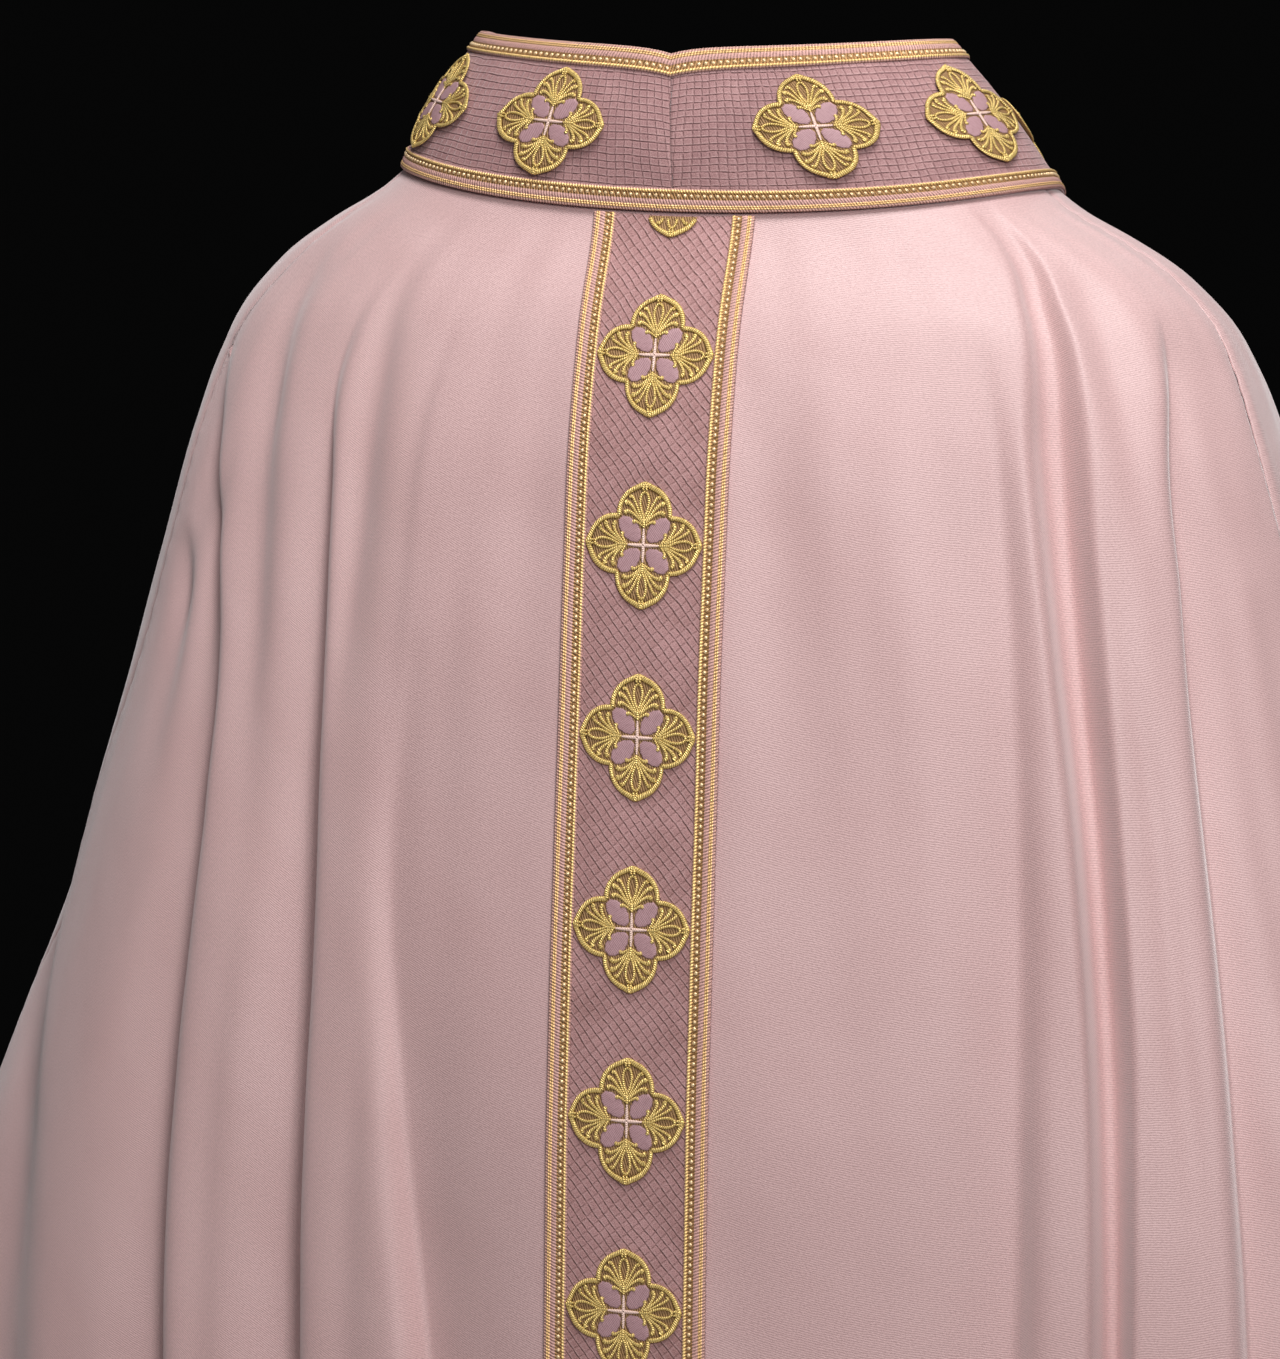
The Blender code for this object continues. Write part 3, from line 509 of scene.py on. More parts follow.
def mesh_piece(name, points, faces, material, uv=None, face_material=None):
    """A mesh from arrays: points in millimetres, faces of four, and uv in metres for each face's corners."""
    mesh = bpy.data.meshes.new(name)
    faces = np.asarray(faces)
    mesh.vertices.add(len(points))
    mesh.vertices.foreach_set("co", (np.asarray(points) * MM).ravel())
    mesh.loops.add(faces.size)
    mesh.loops.foreach_set("vertex_index", faces.ravel().astype(np.int32))
    mesh.polygons.add(len(faces))
    mesh.polygons.foreach_set("loop_start", (np.arange(len(faces)) * faces.shape[1]).astype(np.int32))
    mesh.polygons.foreach_set("use_smooth", np.full(len(faces), True))
    if uv is not None:
        layer = mesh.uv_layers.new(name="UVMap")
        layer.data.foreach_set("uv", np.asarray(uv, float).ravel())
    for m in material if isinstance(material, (list, tuple)) else [material]:
        mesh.materials.append(m)
    if face_material is not None:
        mesh.polygons.foreach_set("material_index", np.asarray(face_material, np.int32))
    mesh.update(calc_edges=True)
    mesh.validate()
    piece = bpy.data.objects.new(name, mesh)
    bpy.context.scene.collection.objects.link(piece)
    return piece


def shell(outer, inner, across, down, ring=False):
    """Points, faces and uv of a wall between two grids, closed round its edges, or into a ring.

    across and down are the uv of each point, in metres; a ring has one more column of them."""
    rows, cols = outer.shape[:2]
    count = rows * cols
    r, c = np.meshgrid(np.arange(rows - 1), np.arange(cols if ring else cols - 1), indexing="ij")
    r, c = r.ravel(), c.ravel()

    def quad(*corners):
        return np.stack([np.stack([side * count + row * cols + col % cols, row, col], -1)
                         for row, col, side in corners], 1)

    quads = [quad((r, c, 0), (r + 1, c, 0), (r + 1, c + 1, 0), (r, c + 1, 0)),
             quad((r, c, 1), (r, c + 1, 1), (r + 1, c + 1, 1), (r + 1, c, 1))]
    k = np.arange(cols if ring else cols - 1)
    z, last = 0 * k, 0 * k + rows - 1
    quads += [quad((z, k, 0), (z, k + 1, 0), (z, k + 1, 1), (z, k, 1)),
              quad((last, k, 0), (last, k, 1), (last, k + 1, 1), (last, k + 1, 0))]
    if not ring:
        k = np.arange(rows - 1)
        z, last = 0 * k, 0 * k + cols - 1
        quads += [quad((k, z, 0), (k, z, 1), (k + 1, z, 1), (k + 1, z, 0)),
                  quad((k, last, 0), (k + 1, last, 0), (k + 1, last, 1), (k, last, 1))]
    quads = np.concatenate(quads)
    uv = np.stack([across[quads[..., 1], quads[..., 2]], down[quads[..., 1], quads[..., 2] % cols]], -1)
    return np.concatenate([outer.reshape(-1, 3), inner.reshape(-1, 3)]), quads[..., 0], uv


def tube(rows, sides):
    """Row and column of each face of a tube of rings, and the faces."""
    r, c = (k.ravel() for k in np.meshgrid(np.arange(rows - 1), np.arange(sides), indexing="ij"))
    d = (c + 1) % sides
    return r, c, np.stack([r * sides + c, (r + 1) * sides + c, (r + 1) * sides + d, r * sides + d], 1)


def stroke(path, wide, high, lift, sides=6):
    """A raised stroke: a flattened round section carried along a path of (x, y), closed at both ends.

    wide and high may change along it. Gives (x, y, lift) points, faces and uv in metres."""
    path = np.asarray(path, float)
    step = unit(np.gradient(path, axis=0))
    left = np.stack([-step[:, 1], step[:, 0]], -1)
    run = running(path)
    wide, high = np.broadcast_to(wide, len(path)), np.broadcast_to(high, len(path))
    turn = np.arange(sides) * 2 * math.pi / sides
    side = np.cos(turn)[None, :] * wide[:, None] / 2
    up = (np.sin(turn)[None, :] * 0.5 + 0.5) * high[:, None]
    xy = path[:, None, :] + left[:, None, :] * side[..., None]
    ring = np.concatenate([xy, (lift + up)[..., None]], -1)
    n = len(path)
    ends = np.array([[*path[k], lift + high[k] / 2] for k in (0, -1)])
    r, c, faces = tube(n, sides)
    girth = (wide.mean() + high.mean()) * 1.3
    near, far = c / sides * girth, (c + 1) / sides * girth
    uv = np.stack([np.stack([run[a], b], -1) for a, b in ((r, near), (r + 1, near), (r + 1, far), (r, far))], 1)
    k, last = 2 * np.arange(sides // 2), (n - 1) * sides
    b, e = (k + 1) % sides, (k + 2) % sides
    caps = np.concatenate([np.stack([0 * k + n * sides, k, b, e], 1),
                           np.stack([0 * k + n * sides + 1, last + e, last + b, last + k], 1)])
    cap_uv = np.zeros((len(caps), 4, 2)) + np.array([0, girth / 2])
    points = np.concatenate([ring.reshape(-1, 3), ends])
    return points, np.concatenate([faces, caps]), np.concatenate([uv, cap_uv]) * MM


def smooth_path(knots, per):
    """A smooth line through a few points: cubic between them, with slopes from their neighbours."""
    knots = np.asarray(knots, float)
    fine = np.linspace(0, len(knots) - 1, (len(knots) - 1) * per + 1)
    i = np.clip(np.floor(fine).astype(int), 0, len(knots) - 2)
    slope = np.gradient(knots, np.arange(len(knots)), axis=0)
    return cubic((fine - i)[:, None], knots[i], knots[i + 1], slope[i], slope[i + 1])


def gold_strokes():
    """Strokes of one quatrefoil as (path, width, height, thread)."""
    out = []
    for k in range(4):
        arm = k * math.pi / 2

        def turned_to(points, arm=arm):
            u, v = np.asarray(points, float).T
            return np.stack([v * math.cos(arm) - u * math.sin(arm), v * math.sin(arm) + u * math.cos(arm)], -1)

        # the lobe's edge: a little over half a circle about a point out along the arm, drawn to a small point
        t = np.linspace(-1.7, 1.7, 42)
        reach = LOBE_ROUND + 1.1 * np.exp(-((t / 0.2) ** 2))
        lobe = np.stack([reach * np.sin(t), LOBE_OFF + reach * np.cos(t)], -1)
        wide = OUTLINE_WIDE * (1 + 0.12 * np.sin(2.3 * t + k)) * np.clip((1.76 - np.abs(t)) / 0.12, 0.55, 1)
        out.append((turned_to(lobe), wide, OUTLINE_HIGH, "gold"))
        for tilt in (-1, 1):
            knot = smooth_path([(tilt * 0.9, 27.4), (tilt * 0.8, 29.4), (0, 32.0)], 5)
            out.append((turned_to(knot), np.interp(knot[:, 1], [27.4, 29.4, 32.0], [0.9, 2.1, 0.8]), 1.45, "gold"))
        t = np.linspace(0, 2 * math.pi, 29)
        loop = np.stack([2.9 * np.sin(t) * np.sin(t / 2) ** 0.7, 20.4 - 6.4 * np.cos(t)], -1)
        out.append((turned_to(loop), 1.5, 1.0, "gold"))
        leaves = (
            (1.3, 2.3, ((0.7, 12), (2.7, 16.5), (5.2, 21.6), (7.1, 24.2), (8.6, 23.6))),
            (1.4, 3.6, ((0.8, 11.5), (3.6, 15.2), (6.8, 19.2), (9.4, 21.0), (10.9, 20.4))),
            (1.4, 3.2, ((0.8, 11), (3.6, 13.8), (6.8, 16.0), (9.6, 16.6), (11.0, 15.3))),
            (1.2, 2.7, ((0.6, 9.8), (2.6, 11.0), (4.6, 11.9), (6.3, 11.4))),
        )
        for slim, full, leaf in leaves:
            for mirror in (1, -1):
                path = smooth_path([(u * mirror, v) for u, v in leaf], 4)
                share = np.linspace(0, 1, len(path))
                wide = slim + (full - slim) * share**2.2
                out.append((turned_to(path), wide * np.clip((1.05 - share) / 0.14, 0.4, 1), 0.95, "gold"))
        stem = smooth_path([(0, 8.6), (0, 10.4), (0, 12.6), (0, 14.4)], 4)
        out.append((turned_to(stem), np.interp(stem[:, 1], [8.6, 11, 14.4], [1.2, 2.6, 1.0]), 1.05, "gold"))
        cross = smooth_path([(0, 0.2), (0, 3), (0, 6), (0, 9.0)], 5)
        out.append((turned_to(cross), np.interp(cross[:, 1], [0, 5, 9.0], [2.0, 1.7, 0.9]), 1.0, "pale"))
        half = arm + math.pi / 4
        reach = np.linspace(3.4, 18.4, 17)
        petal = np.stack([reach * math.cos(half), reach * math.sin(half)], -1)
        wide = 10.4 * np.sin(math.pi * np.clip((reach - 2.6) / 17.0, 0, 1)) ** 0.7
        out.append((petal, np.maximum(wide * (1 + 0.06 * np.sin(2.1 * reach)), 0.8), 0.5, "petal"))
    return out


def motif_ground(cut, spokes=96, rings=9):
    """The embroidered ground: a plate from a middle out to the joined circles' edge, rounded off at it.

    What lies before cut, down the figure, is left off. Gives points, faces of four and uv in metres."""
    middle = max(0.0, (cut + LOBE_OFF + LOBE_ROUND) / 2)
    turn = np.arange(spokes) * 2 * math.pi / spokes
    way = np.stack([np.cos(turn), np.sin(turn)], -1)
    reach = np.arange(0, 2 * LOBE_OFF + LOBE_ROUND, 0.05)
    x, y = way[:, :1] * reach, middle + way[:, 1:] * reach
    inside = np.abs(x) + np.abs(y) < LOBE_OFF
    for ax, ay in ((1, 0), (-1, 0), (0, 1), (0, -1)):
        inside |= np.hypot(x - ax * LOBE_OFF, y - ay * LOBE_OFF) < LOBE_ROUND + 0.3
    edge = reach[np.argmin(inside & (y > cut), axis=1)]
    share = np.concatenate([np.linspace(0.02, 1, rings), [1.0]])
    high = np.concatenate([0.35 - 0.1 * np.linspace(0, 1, rings) ** 6, [0.0]])
    xs = way[:, 0] * edge * share[:, None]
    ys = middle + way[:, 1] * edge * share[:, None]
    top = np.stack([xs, ys, np.broadcast_to(high[:, None], xs.shape)], -1)
    low = top[:1] * np.array([1, 1, 0])
    grid = np.concatenate([top, low])
    _, _, faces = tube(len(grid), spokes)
    k = 2 * np.arange(spokes // 2 - 1) + 1
    fan = np.stack([0 * k, k, k + 1, (k + 2) % spokes], 1)
    faces = np.concatenate([faces, fan[:, ::-1], fan + (len(grid) - 1) * spokes])
    points = grid.reshape(-1, 3)
    return points, faces, points[faces][..., :2] * MM


THREADS = ("ground", "gold", "pale", "petal")


def motif(name, surface, x, y, cut, scale, materials):
    """One quatrefoil: its ground and its strokes laid on a surface about (x, y), each raised by its lift.

    scale is how much narrower and lower it is than the tables."""
    parts = [(*motif_ground(cut), "ground")]
    for path, wide, high, thread in gold_strokes():
        keep = path[:, 1] > cut + 0.8
        if keep.sum() < 4:
            continue
        first, last = np.argmax(keep), len(keep) - np.argmax(keep[::-1])
        wide, high = (np.broadcast_to(v, len(path))[first:last] for v in (wide, high))
        path = path[first:last]
        if (path[:, 1] > cut).all():
            parts.append((*stroke(path, wide, high, STROKE_LIFT, 10 if thread == "petal" else 6), thread))
    starts = np.cumsum([0] + [len(p) for p, *_ in parts])
    moved = [(p, f + start, t, np.full(len(f), THREADS.index(thread)))
             for (p, f, t, thread), start in zip(parts, starts)]
    points, faces, uv, kinds = (np.concatenate(v) for v in zip(*moved))
    placed = surface.place(x + points[:, 0] * scale[0], y + points[:, 1] * scale[1], MOTIF_FOOT + points[:, 2])
    return mesh_piece(name, placed, faces, [materials[t] for t in THREADS], uv, kinds)


def cloth_panel(name, guides, counts, rows, material):
    """One cloth panel: the folded skin with its seams drawn in and its hem turned, and a thin wall behind it.

    Near a side seam the cloth dips by exp(-(distance/2.6)^2) and puckers in short waves; 15 mm above the
    hem a row of stitches draws it in, and the last rows roll inwards."""
    angle, height = panel_grid(guides, counts, rows)
    bare = form(angle, height)
    across, down = lengths(bare, 1), lengths(bare, 0)
    side = np.minimum(across, across[:, -1:] - across)
    from_hem = down[-1:] - down
    dip = 1.1 * np.exp(-((side / 2.6) ** 2))
    pucker = np.sin(down / 2.3 + 2 * np.sin(down / 31)) * np.exp(-side / 9) * 0.35
    stitches = 0.7 * np.exp(-(((from_hem - 15) / 1.8) ** 2)) * (1 + 0.3 * np.sin(across / 1.6))
    roll = 1.6 * np.exp(-((from_hem / 2.2) ** 2))
    lift = -(dip + pucker * (side > 0.1) + stitches + roll)
    outer = skin(angle, height, lift)
    way = grid_normals(outer)
    inner = outer - way * CLOTH
    points, faces, uv = shell(outer, inner, lengths(outer, 1) * MM, lengths(outer, 0) * MM)
    return mesh_piece(name, points, faces, material, uv)


def velvet_band(surface, material):
    """The velvet band: the back panel's surface lifted, its pile a little fuller in the middle."""
    x = np.linspace(-BAND_HALF, BAND_HALF, BAND_COLUMNS)
    y = np.concatenate([[BAND_START], np.linspace(BAND_START + 1, surface.down[-1] - BAND_END, BAND_ROWS)])
    x, y = np.meshgrid(x, y)
    full = 0.25 * np.sin(y / 41 + 0.6 * np.sin(x / 9)) * np.cos(x / 26) * (np.abs(x) < 29)
    outer = surface.place(x, y, BAND_TOP + full * 0.6)
    inner = surface.place(x, y, BAND_FOOT)
    points, faces, uv = shell(outer, inner, x * MM, y * MM)
    return mesh_piece("velvet_band", points, faces, material, uv)


def braid(name, place, run, ring, materials):
    """A woven braid: its profile carried along, with a row of small beads in its channel.

    place(t, w, lift) gives points at t along, w across from the inner edge, and lift out."""
    across, high = np.array(BRAID_PROFILE).T
    t, w = np.meshgrid(run, across)
    base = BRAID_TAPE + high[:, None] * (1 + 0.12 * np.sin(t * 2.1 + w))
    base[0], base[-1] = 0.25, 0.25
    outer = place(t, w, base)
    inner = place(t, w, 0 * t)
    along_uv = np.concatenate([t, t[:, -1:] + run[1] - run[0]], axis=1) if ring else t
    points, faces, uv = shell(outer, inner, along_uv * MM, w * MM, ring)
    kinds = np.zeros(len(faces), int)
    count = int((run[-1] - run[0]) / BEAD_PITCH)
    middles = run[0] + (np.arange(count) + 0.5) * (run[-1] - run[0]) / count
    turn = np.arange(BEAD_SIDES) * 2 * math.pi / BEAD_SIDES
    rings = ((1.0, 0.0), (0.92, 0.45), (0.6, 0.85), (0.12, 1.0))
    level = 0 * middles[:, None] + 0 * turn
    bead_t = np.concatenate([middles[:, None] + BEAD_ROUND * r * np.cos(turn) for r, _ in rings], 1)
    bead_w = np.concatenate([level + BEAD_LINE + BEAD_ROUND * r * np.sin(turn) for r, _ in rings], 1)
    bead_h = np.concatenate([level + BRAID_TAPE - 0.1 + BEAD_HIGH * h for _, h in rings], 1)
    bead_points = place(bead_t, bead_w, bead_h)
    k = np.arange(BEAD_SIDES)
    d = (k + 1) % BEAD_SIDES
    sides = [np.stack([r * 8 + k, r * 8 + d, (r + 1) * 8 + d, (r + 1) * 8 + k], 1) for r in range(3)]
    caps = [np.array([[24, 25, 26, 27], [24, 27, 28, 31], [28, 29, 30, 31],
                      [3, 2, 1, 0], [7, 4, 3, 0], [7, 6, 5, 4]])]
    one = np.concatenate(sides + caps)
    bead_faces = (one[None] + 32 * np.arange(count)[:, None, None]).reshape(-1, 4)
    flat_points = bead_points.reshape(-1, 3)
    bead_uv = np.stack([bead_t.reshape(-1)[bead_faces], bead_w.reshape(-1)[bead_faces]], -1) * MM
    if handed(flat_points, bead_faces) * handed(points, faces) < 0:
        bead_faces, bead_uv = bead_faces[:, ::-1], bead_uv[:, ::-1]
    faces = np.concatenate([faces, bead_faces + len(points)])
    kinds = np.concatenate([kinds, np.ones(len(bead_faces), int)])
    return mesh_piece(name, np.concatenate([points, flat_points]), faces, materials,
                      np.concatenate([uv, bead_uv]), kinds)


def handed(points, faces):
    """Sign of the volume that closed faces hold: positive where they look outwards."""
    middle = points.mean(axis=0)
    a, b, c, d = (points[faces[:, k]] - middle for k in range(4))
    return np.sum(a * np.cross(b, c)) + np.sum(a * np.cross(c, d))


def face_out(piece):
    """Turns a piece's faces round if its volume comes out negative."""
    mesh = piece.data
    co = np.empty(len(mesh.vertices) * 3)
    mesh.vertices.foreach_get("co", co)
    index = np.empty(len(mesh.loops), np.int32)
    mesh.loops.foreach_get("vertex_index", index)
    if handed(co.reshape(-1, 3), index.reshape(-1, 4)) < 0:
        mesh.flip_normals()
    return piece


def add(tree, kind, inputs=None, **settings):
    """A shader node with its settings, its inputs set to numbers or joined to other nodes' outputs."""
    made = tree.nodes.new(kind)
    for key, value in settings.items():
        setattr(made, key, value)
    for key, value in (inputs or {}).items():
        if isinstance(value, bpy.types.NodeSocket):
            tree.links.new(value, made.inputs[key])
        else:
            made.inputs[key].default_value = value
    return made


def calc(tree, operation, *values):
    """Result of a maths node."""
    return add(tree, "ShaderNodeMath", dict(enumerate(values)), operation=operation).outputs[0]


def vector_calc(tree, operation, inputs):
    """Result of a vector maths node."""
    return add(tree, "ShaderNodeVectorMath", inputs, operation=operation).outputs[0]


def noise(tree, place, scale, detail, roughness=0.5):
    """Outputs of a noise texture: its value and its colour."""
    inputs = {"Vector": place, "Scale": scale, "Detail": detail, "Roughness": roughness}
    return add(tree, "ShaderNodeTexNoise", inputs).outputs


def group(name, inputs, outputs):
    """A shader node group of a surface and some numbers; gives the tree, its inputs and its output node."""
    tree = bpy.data.node_groups.new(name, "ShaderNodeTree")
    tree.interface.new_socket("Surface", in_out="INPUT", socket_type="NodeSocketVector")
    for label, value in inputs.items():
        tree.interface.new_socket(label, in_out="INPUT", socket_type="NodeSocketFloat").default_value = value
    for label in outputs:
        tree.interface.new_socket(label, in_out="OUTPUT", socket_type="NodeSocketFloat")
    return tree, tree.nodes.new("NodeGroupInput").outputs, tree.nodes.new("NodeGroupOutput")


def give(tree, gives, **values):
    """Joins values to a group's outputs."""
    for label, value in values.items():
        tree.links.new(value, gives.inputs[label])
    return tree


def ridges(tree, length, pitch):
    """A sine of a length over a pitch, from nought to one."""
    wave = calc(tree, "SINE", calc(tree, "MULTIPLY", calc(tree, "DIVIDE", length, pitch), 2 * math.pi))
    return calc(tree, "MULTIPLY_ADD", wave, 0.5, 0.5)


def twill_group():
    """Fine slanted ridges: a sine of the distance across them, broken by noise, with its height and shade."""
    tree, given, gives = group("twill_ridges", {"Pitch": 0.0014, "Slope": 0.36}, ("Height", "Shade"))
    surface = given["Surface"]
    parts = add(tree, "ShaderNodeSeparateXYZ", {0: surface}).outputs
    slanted = calc(tree, "MULTIPLY_ADD", parts[0], given["Slope"], parts[1])
    slanted = calc(tree, "MULTIPLY_ADD", noise(tree, surface, 160.0, 2.0)[0], 0.0016, slanted)
    ridge = ridges(tree, slanted, given["Pitch"])
    yarn = noise(tree, surface, 850.0, 2.0, 0.7)[0]
    height, shade = (calc(tree, "MULTIPLY_ADD", yarn, 1.2, calc(tree, "MULTIPLY", ridge, v)) for v in (0.6, 0.3))
    return give(tree, gives, Height=height, Shade=shade)


def line_mask(tree, value, wide):
    """One near every whole number of a value and nought between, with soft sides."""
    off = calc(tree, "ABSOLUTE", calc(tree, "SUBTRACT", calc(tree, "FRACT", value), 0.5))
    return add(tree, "ShaderNodeMapRange", {"Value": off, "From Min": 0.5 - wide, "From Max": 0.5},
               interpolation_type="SMOOTHSTEP").outputs[0]


def pressed_group():
    """Small cells pressed into pile: strong lines one way and weaker ones across, stepped from row to row.

    The pattern is turned by an angle and its lines wander a little with noise."""
    tree, given, gives = group("pressed_cells", {"Cell": 4.3, "Row": 3.2, "Turn": 0.0, "Cross lines": 0.5},
                               ("Lines", "Ridges", "Height", "Nap", "Pile"))
    surface = given["Surface"]
    moved = vector_calc(tree, "MULTIPLY", {0: noise(tree, surface, 60.0, 2.0)[1], 1: (0.0026, 0.0026, 0.0)})
    moved = vector_calc(tree, "ADD", {0: surface, 1: moved})
    laid = add(tree, "ShaderNodeVectorRotate", {"Vector": moved, "Angle": given["Turn"]},
               rotation_type="Z_AXIS").outputs[0]
    laid = vector_calc(tree, "SCALE", {0: laid, "Scale": 1000.0})
    parts = add(tree, "ShaderNodeSeparateXYZ", {0: laid}).outputs
    rows = calc(tree, "DIVIDE", parts[1], given["Row"])
    step = calc(tree, "MULTIPLY", calc(tree, "FLOOR", rows), 0.09)
    cells = calc(tree, "ADD", calc(tree, "DIVIDE", parts[0], given["Cell"]), step)
    strong = line_mask(tree, rows, 0.16)
    weak = calc(tree, "MULTIPLY", line_mask(tree, cells, 0.12), given["Cross lines"])
    worn = noise(tree, surface, 420.0, 1.0)[0]
    worn = add(tree, "ShaderNodeMapRange", {"Value": worn, "From Min": 0.3, "From Max": 0.62,
                                            "To Min": 0.35}).outputs[0]
    lines = calc(tree, "MULTIPLY", calc(tree, "MAXIMUM", strong, weak), worn)
    # Painted highlight: a lighter stripe just past each pressed line, standing in for the lit edge of the cell.
    highlight_beside = calc(tree, "MAXIMUM", line_mask(tree, calc(tree, "ADD", rows, 0.22), 0.15),
                  calc(tree, "MULTIPLY", line_mask(tree, calc(tree, "ADD", cells, 0.2), 0.13), 0.6))
    pile = noise(tree, surface, 1700.0, 2.0)[0]
    height = calc(tree, "MULTIPLY_ADD", lines, -1.0, calc(tree, "MULTIPLY", pile, 0.5))
    return give(tree, gives, Lines=lines, Ridges=calc(tree, "MULTIPLY", highlight_beside, worn), Height=height,
                Nap=noise(tree, surface, 30.0, 4.0, 0.65)[0], Pile=pile)


def thread_group():
    """Threads laid side by side: a sine along the stitched way, uneven in height, and a gleam that changes."""
    tree, given, gives = group("laid_threads", {"Pitch": 0.0005}, ("Height", "Gleam"))
    surface = given["Surface"]
    parts = add(tree, "ShaderNodeSeparateXYZ", {0: surface}).outputs
    wander = noise(tree, surface, 700.0, 1.0)[0]
    slanted = calc(tree, "MULTIPLY_ADD", parts[1], 0.35, parts[0])
    ridge = ridges(tree, calc(tree, "MULTIPLY_ADD", wander, 0.0005, slanted), given["Pitch"])
    spots = calc(tree, "MULTIPLY", noise(tree, surface, 900.0, 2.0)[0], 0.9)
    return give(tree, gives, Height=calc(tree, "MULTIPLY_ADD", wander, 0.8, ridge),
                Gleam=calc(tree, "MULTIPLY_ADD", ridge, 0.45, spots))


def material(name, roughness, metallic=0.0, sheen=0.0, sheen_rough=0.5, specular=0.3):
    """A material with a Principled shader; gives the material, its tree, the shader and the uv."""
    made = bpy.data.materials.new(name)
    made.use_nodes = True
    tree = made.node_tree
    shader = tree.nodes["Principled BSDF"]
    for label, value in (("Roughness", roughness), ("Metallic", metallic), ("Sheen Weight", sheen),
                         ("Sheen Roughness", sheen_rough), ("Specular IOR Level", specular)):
        shader.inputs[label].default_value = value
    return made, tree, shader, add(tree, "ShaderNodeUVMap", uv_map="UVMap").outputs[0]


def ramp(tree, value, stops):
    """Colour of a value: even changes between stops of (place, colour)."""
    made = add(tree, "ShaderNodeValToRGB", {0: value})
    points = made.color_ramp.elements
    while len(points) < len(stops):
        points.new(0.5)
    for point, (place, colour) in zip(points, stops):
        point.position = place
        point.color = (*colour, 1)
    return made.outputs[0]


def finish_with(tree, shader, colour, height, distance, strength):
    """Joins a shader's base colour and its relief."""
    tree.links.new(colour, shader.inputs["Base Color"])
    relief = add(tree, "ShaderNodeBump", {"Height": height, "Distance": distance, "Strength": strength})
    tree.links.new(relief.outputs[0], shader.inputs["Normal"])


def mixed(tree, share, low, high, blend="MIX"):
    """Two colours, each a node's output or plain numbers, mixed by a share."""
    low, high = (c if isinstance(c, bpy.types.NodeSocket) else (*c, 1) for c in (low, high))
    return add(tree, "ShaderNodeMix", {0: share, 6: low, 7: high}, data_type="RGBA", blend_type=blend).outputs[2]


def cloth_material(twill):
    made, tree, shader, uv = material("rose_twill", 0.58, sheen=0.55, sheen_rough=0.45, specular=1.0)
    weave = add(tree, "ShaderNodeGroup", {"Surface": uv}, node_tree=twill).outputs
    tone = ramp(tree, noise(tree, uv, 9.0, 3.0, 0.6)[0], [(0.3, (0.660, 0.425, 0.415)), (0.7, (0.710, 0.475, 0.465))])
    shade = ramp(tree, weave["Shade"], [(0.4, (0.72, 0.68, 0.68)), (0.98, (1.0, 1.0, 1.0))])
    finish_with(tree, shader, mixed(tree, 1.0, tone, shade, "MULTIPLY"), weave["Height"], 0.00014, 0.8)
    return made


def velvet_material(name, pressed, cell, row, turn, cross, tone_low, tone_high, line_tone):
    made, tree, shader, uv = material(name, 0.7, sheen=0.5, sheen_rough=0.3, specular=0.35)
    inputs = {"Surface": uv, "Cell": cell, "Row": row, "Turn": turn, "Cross lines": cross}
    cells = add(tree, "ShaderNodeGroup", inputs, node_tree=pressed).outputs
    tone = ramp(tree, cells["Nap"], [(0.34, tone_low), (0.66, tone_high)])
    grain = ramp(tree, cells["Pile"], [(0.32, (0.74, 0.70, 0.70)), (0.68, (1.2, 1.2, 1.2))])
    tone = mixed(tree, 1.0, tone, grain, "MULTIPLY")
    # Lightens the colour along the painted highlight beside each pressed line.
    tone = mixed(tree, calc(tree, "MULTIPLY", cells["Ridges"], 0.5), tone, (0.66, 0.44, 0.43))
    finish_with(tree, shader, mixed(tree, cells["Lines"], tone, line_tone), cells["Height"], 0.0005, 1.0)
    shader.inputs["Sheen Tint"].default_value = (1.0, 0.84, 0.84, 1)
    return made


def thread_material(name, threads, pitch, dark, light, roughness, metallic, height=0.00018):
    made, tree, shader, uv = material(name, roughness, metallic, specular=0.5)
    laid = add(tree, "ShaderNodeGroup", {"Surface": uv, "Pitch": pitch}, node_tree=threads).outputs
    finish_with(tree, shader, ramp(tree, laid["Gleam"], [(0.34, dark), (0.78, light)]), laid["Height"], height, 0.9)
    return made


GOLD_DARK, GOLD_LIGHT = (0.33, 0.175, 0.018), (1.0, 0.745, 0.27)


def braid_material(threads):
    """The tape's stripes across, as shares of its width from the inner edge, over threads along it."""
    made, tree, shader, uv = material("gold_braid_tape", 0.5, specular=0.45)
    laid = add(tree, "ShaderNodeGroup", {"Surface": uv, "Pitch": 0.0016}, node_tree=threads).outputs
    across = add(tree, "ShaderNodeSeparateXYZ", {0: uv}).outputs[1]
    place = calc(tree, "DIVIDE", across, BRAID_WIDE * MM)
    gold, pale, dark = (0.86, 0.585, 0.26), (0.74, 0.48, 0.23), (0.31, 0.175, 0.075)
    rose, edge = (0.49, 0.285, 0.26), (0.47, 0.275, 0.235)
    tone = ramp(tree, place, (
        (0.0, edge), (0.05, edge), (0.06, gold), (0.165, gold), (0.18, dark), (0.465, dark), (0.48, rose),
        (0.70, rose), (0.72, pale), (0.78, pale), (0.795, dark), (0.81, pale), (0.87, pale), (0.885, edge),
        (1.0, edge)))
    shade = ramp(tree, laid["Gleam"], [(0.3, (0.5, 0.46, 0.42)), (0.8, (1.5, 1.48, 1.42))])
    metal = ramp(tree, place, [(at_share, (value,) * 3) for at_share, value in (
        (0.05, 0.05), (0.06, 0.5), (0.46, 0.4), (0.48, 0.0), (0.71, 0.0), (0.72, 0.45), (0.87, 0.45), (0.885, 0.05))])
    tree.links.new(metal, shader.inputs["Metallic"])
    finish_with(tree, shader, mixed(tree, 1.0, tone, shade, "MULTIPLY"), laid["Height"], 0.00035, 0.9)
    return made


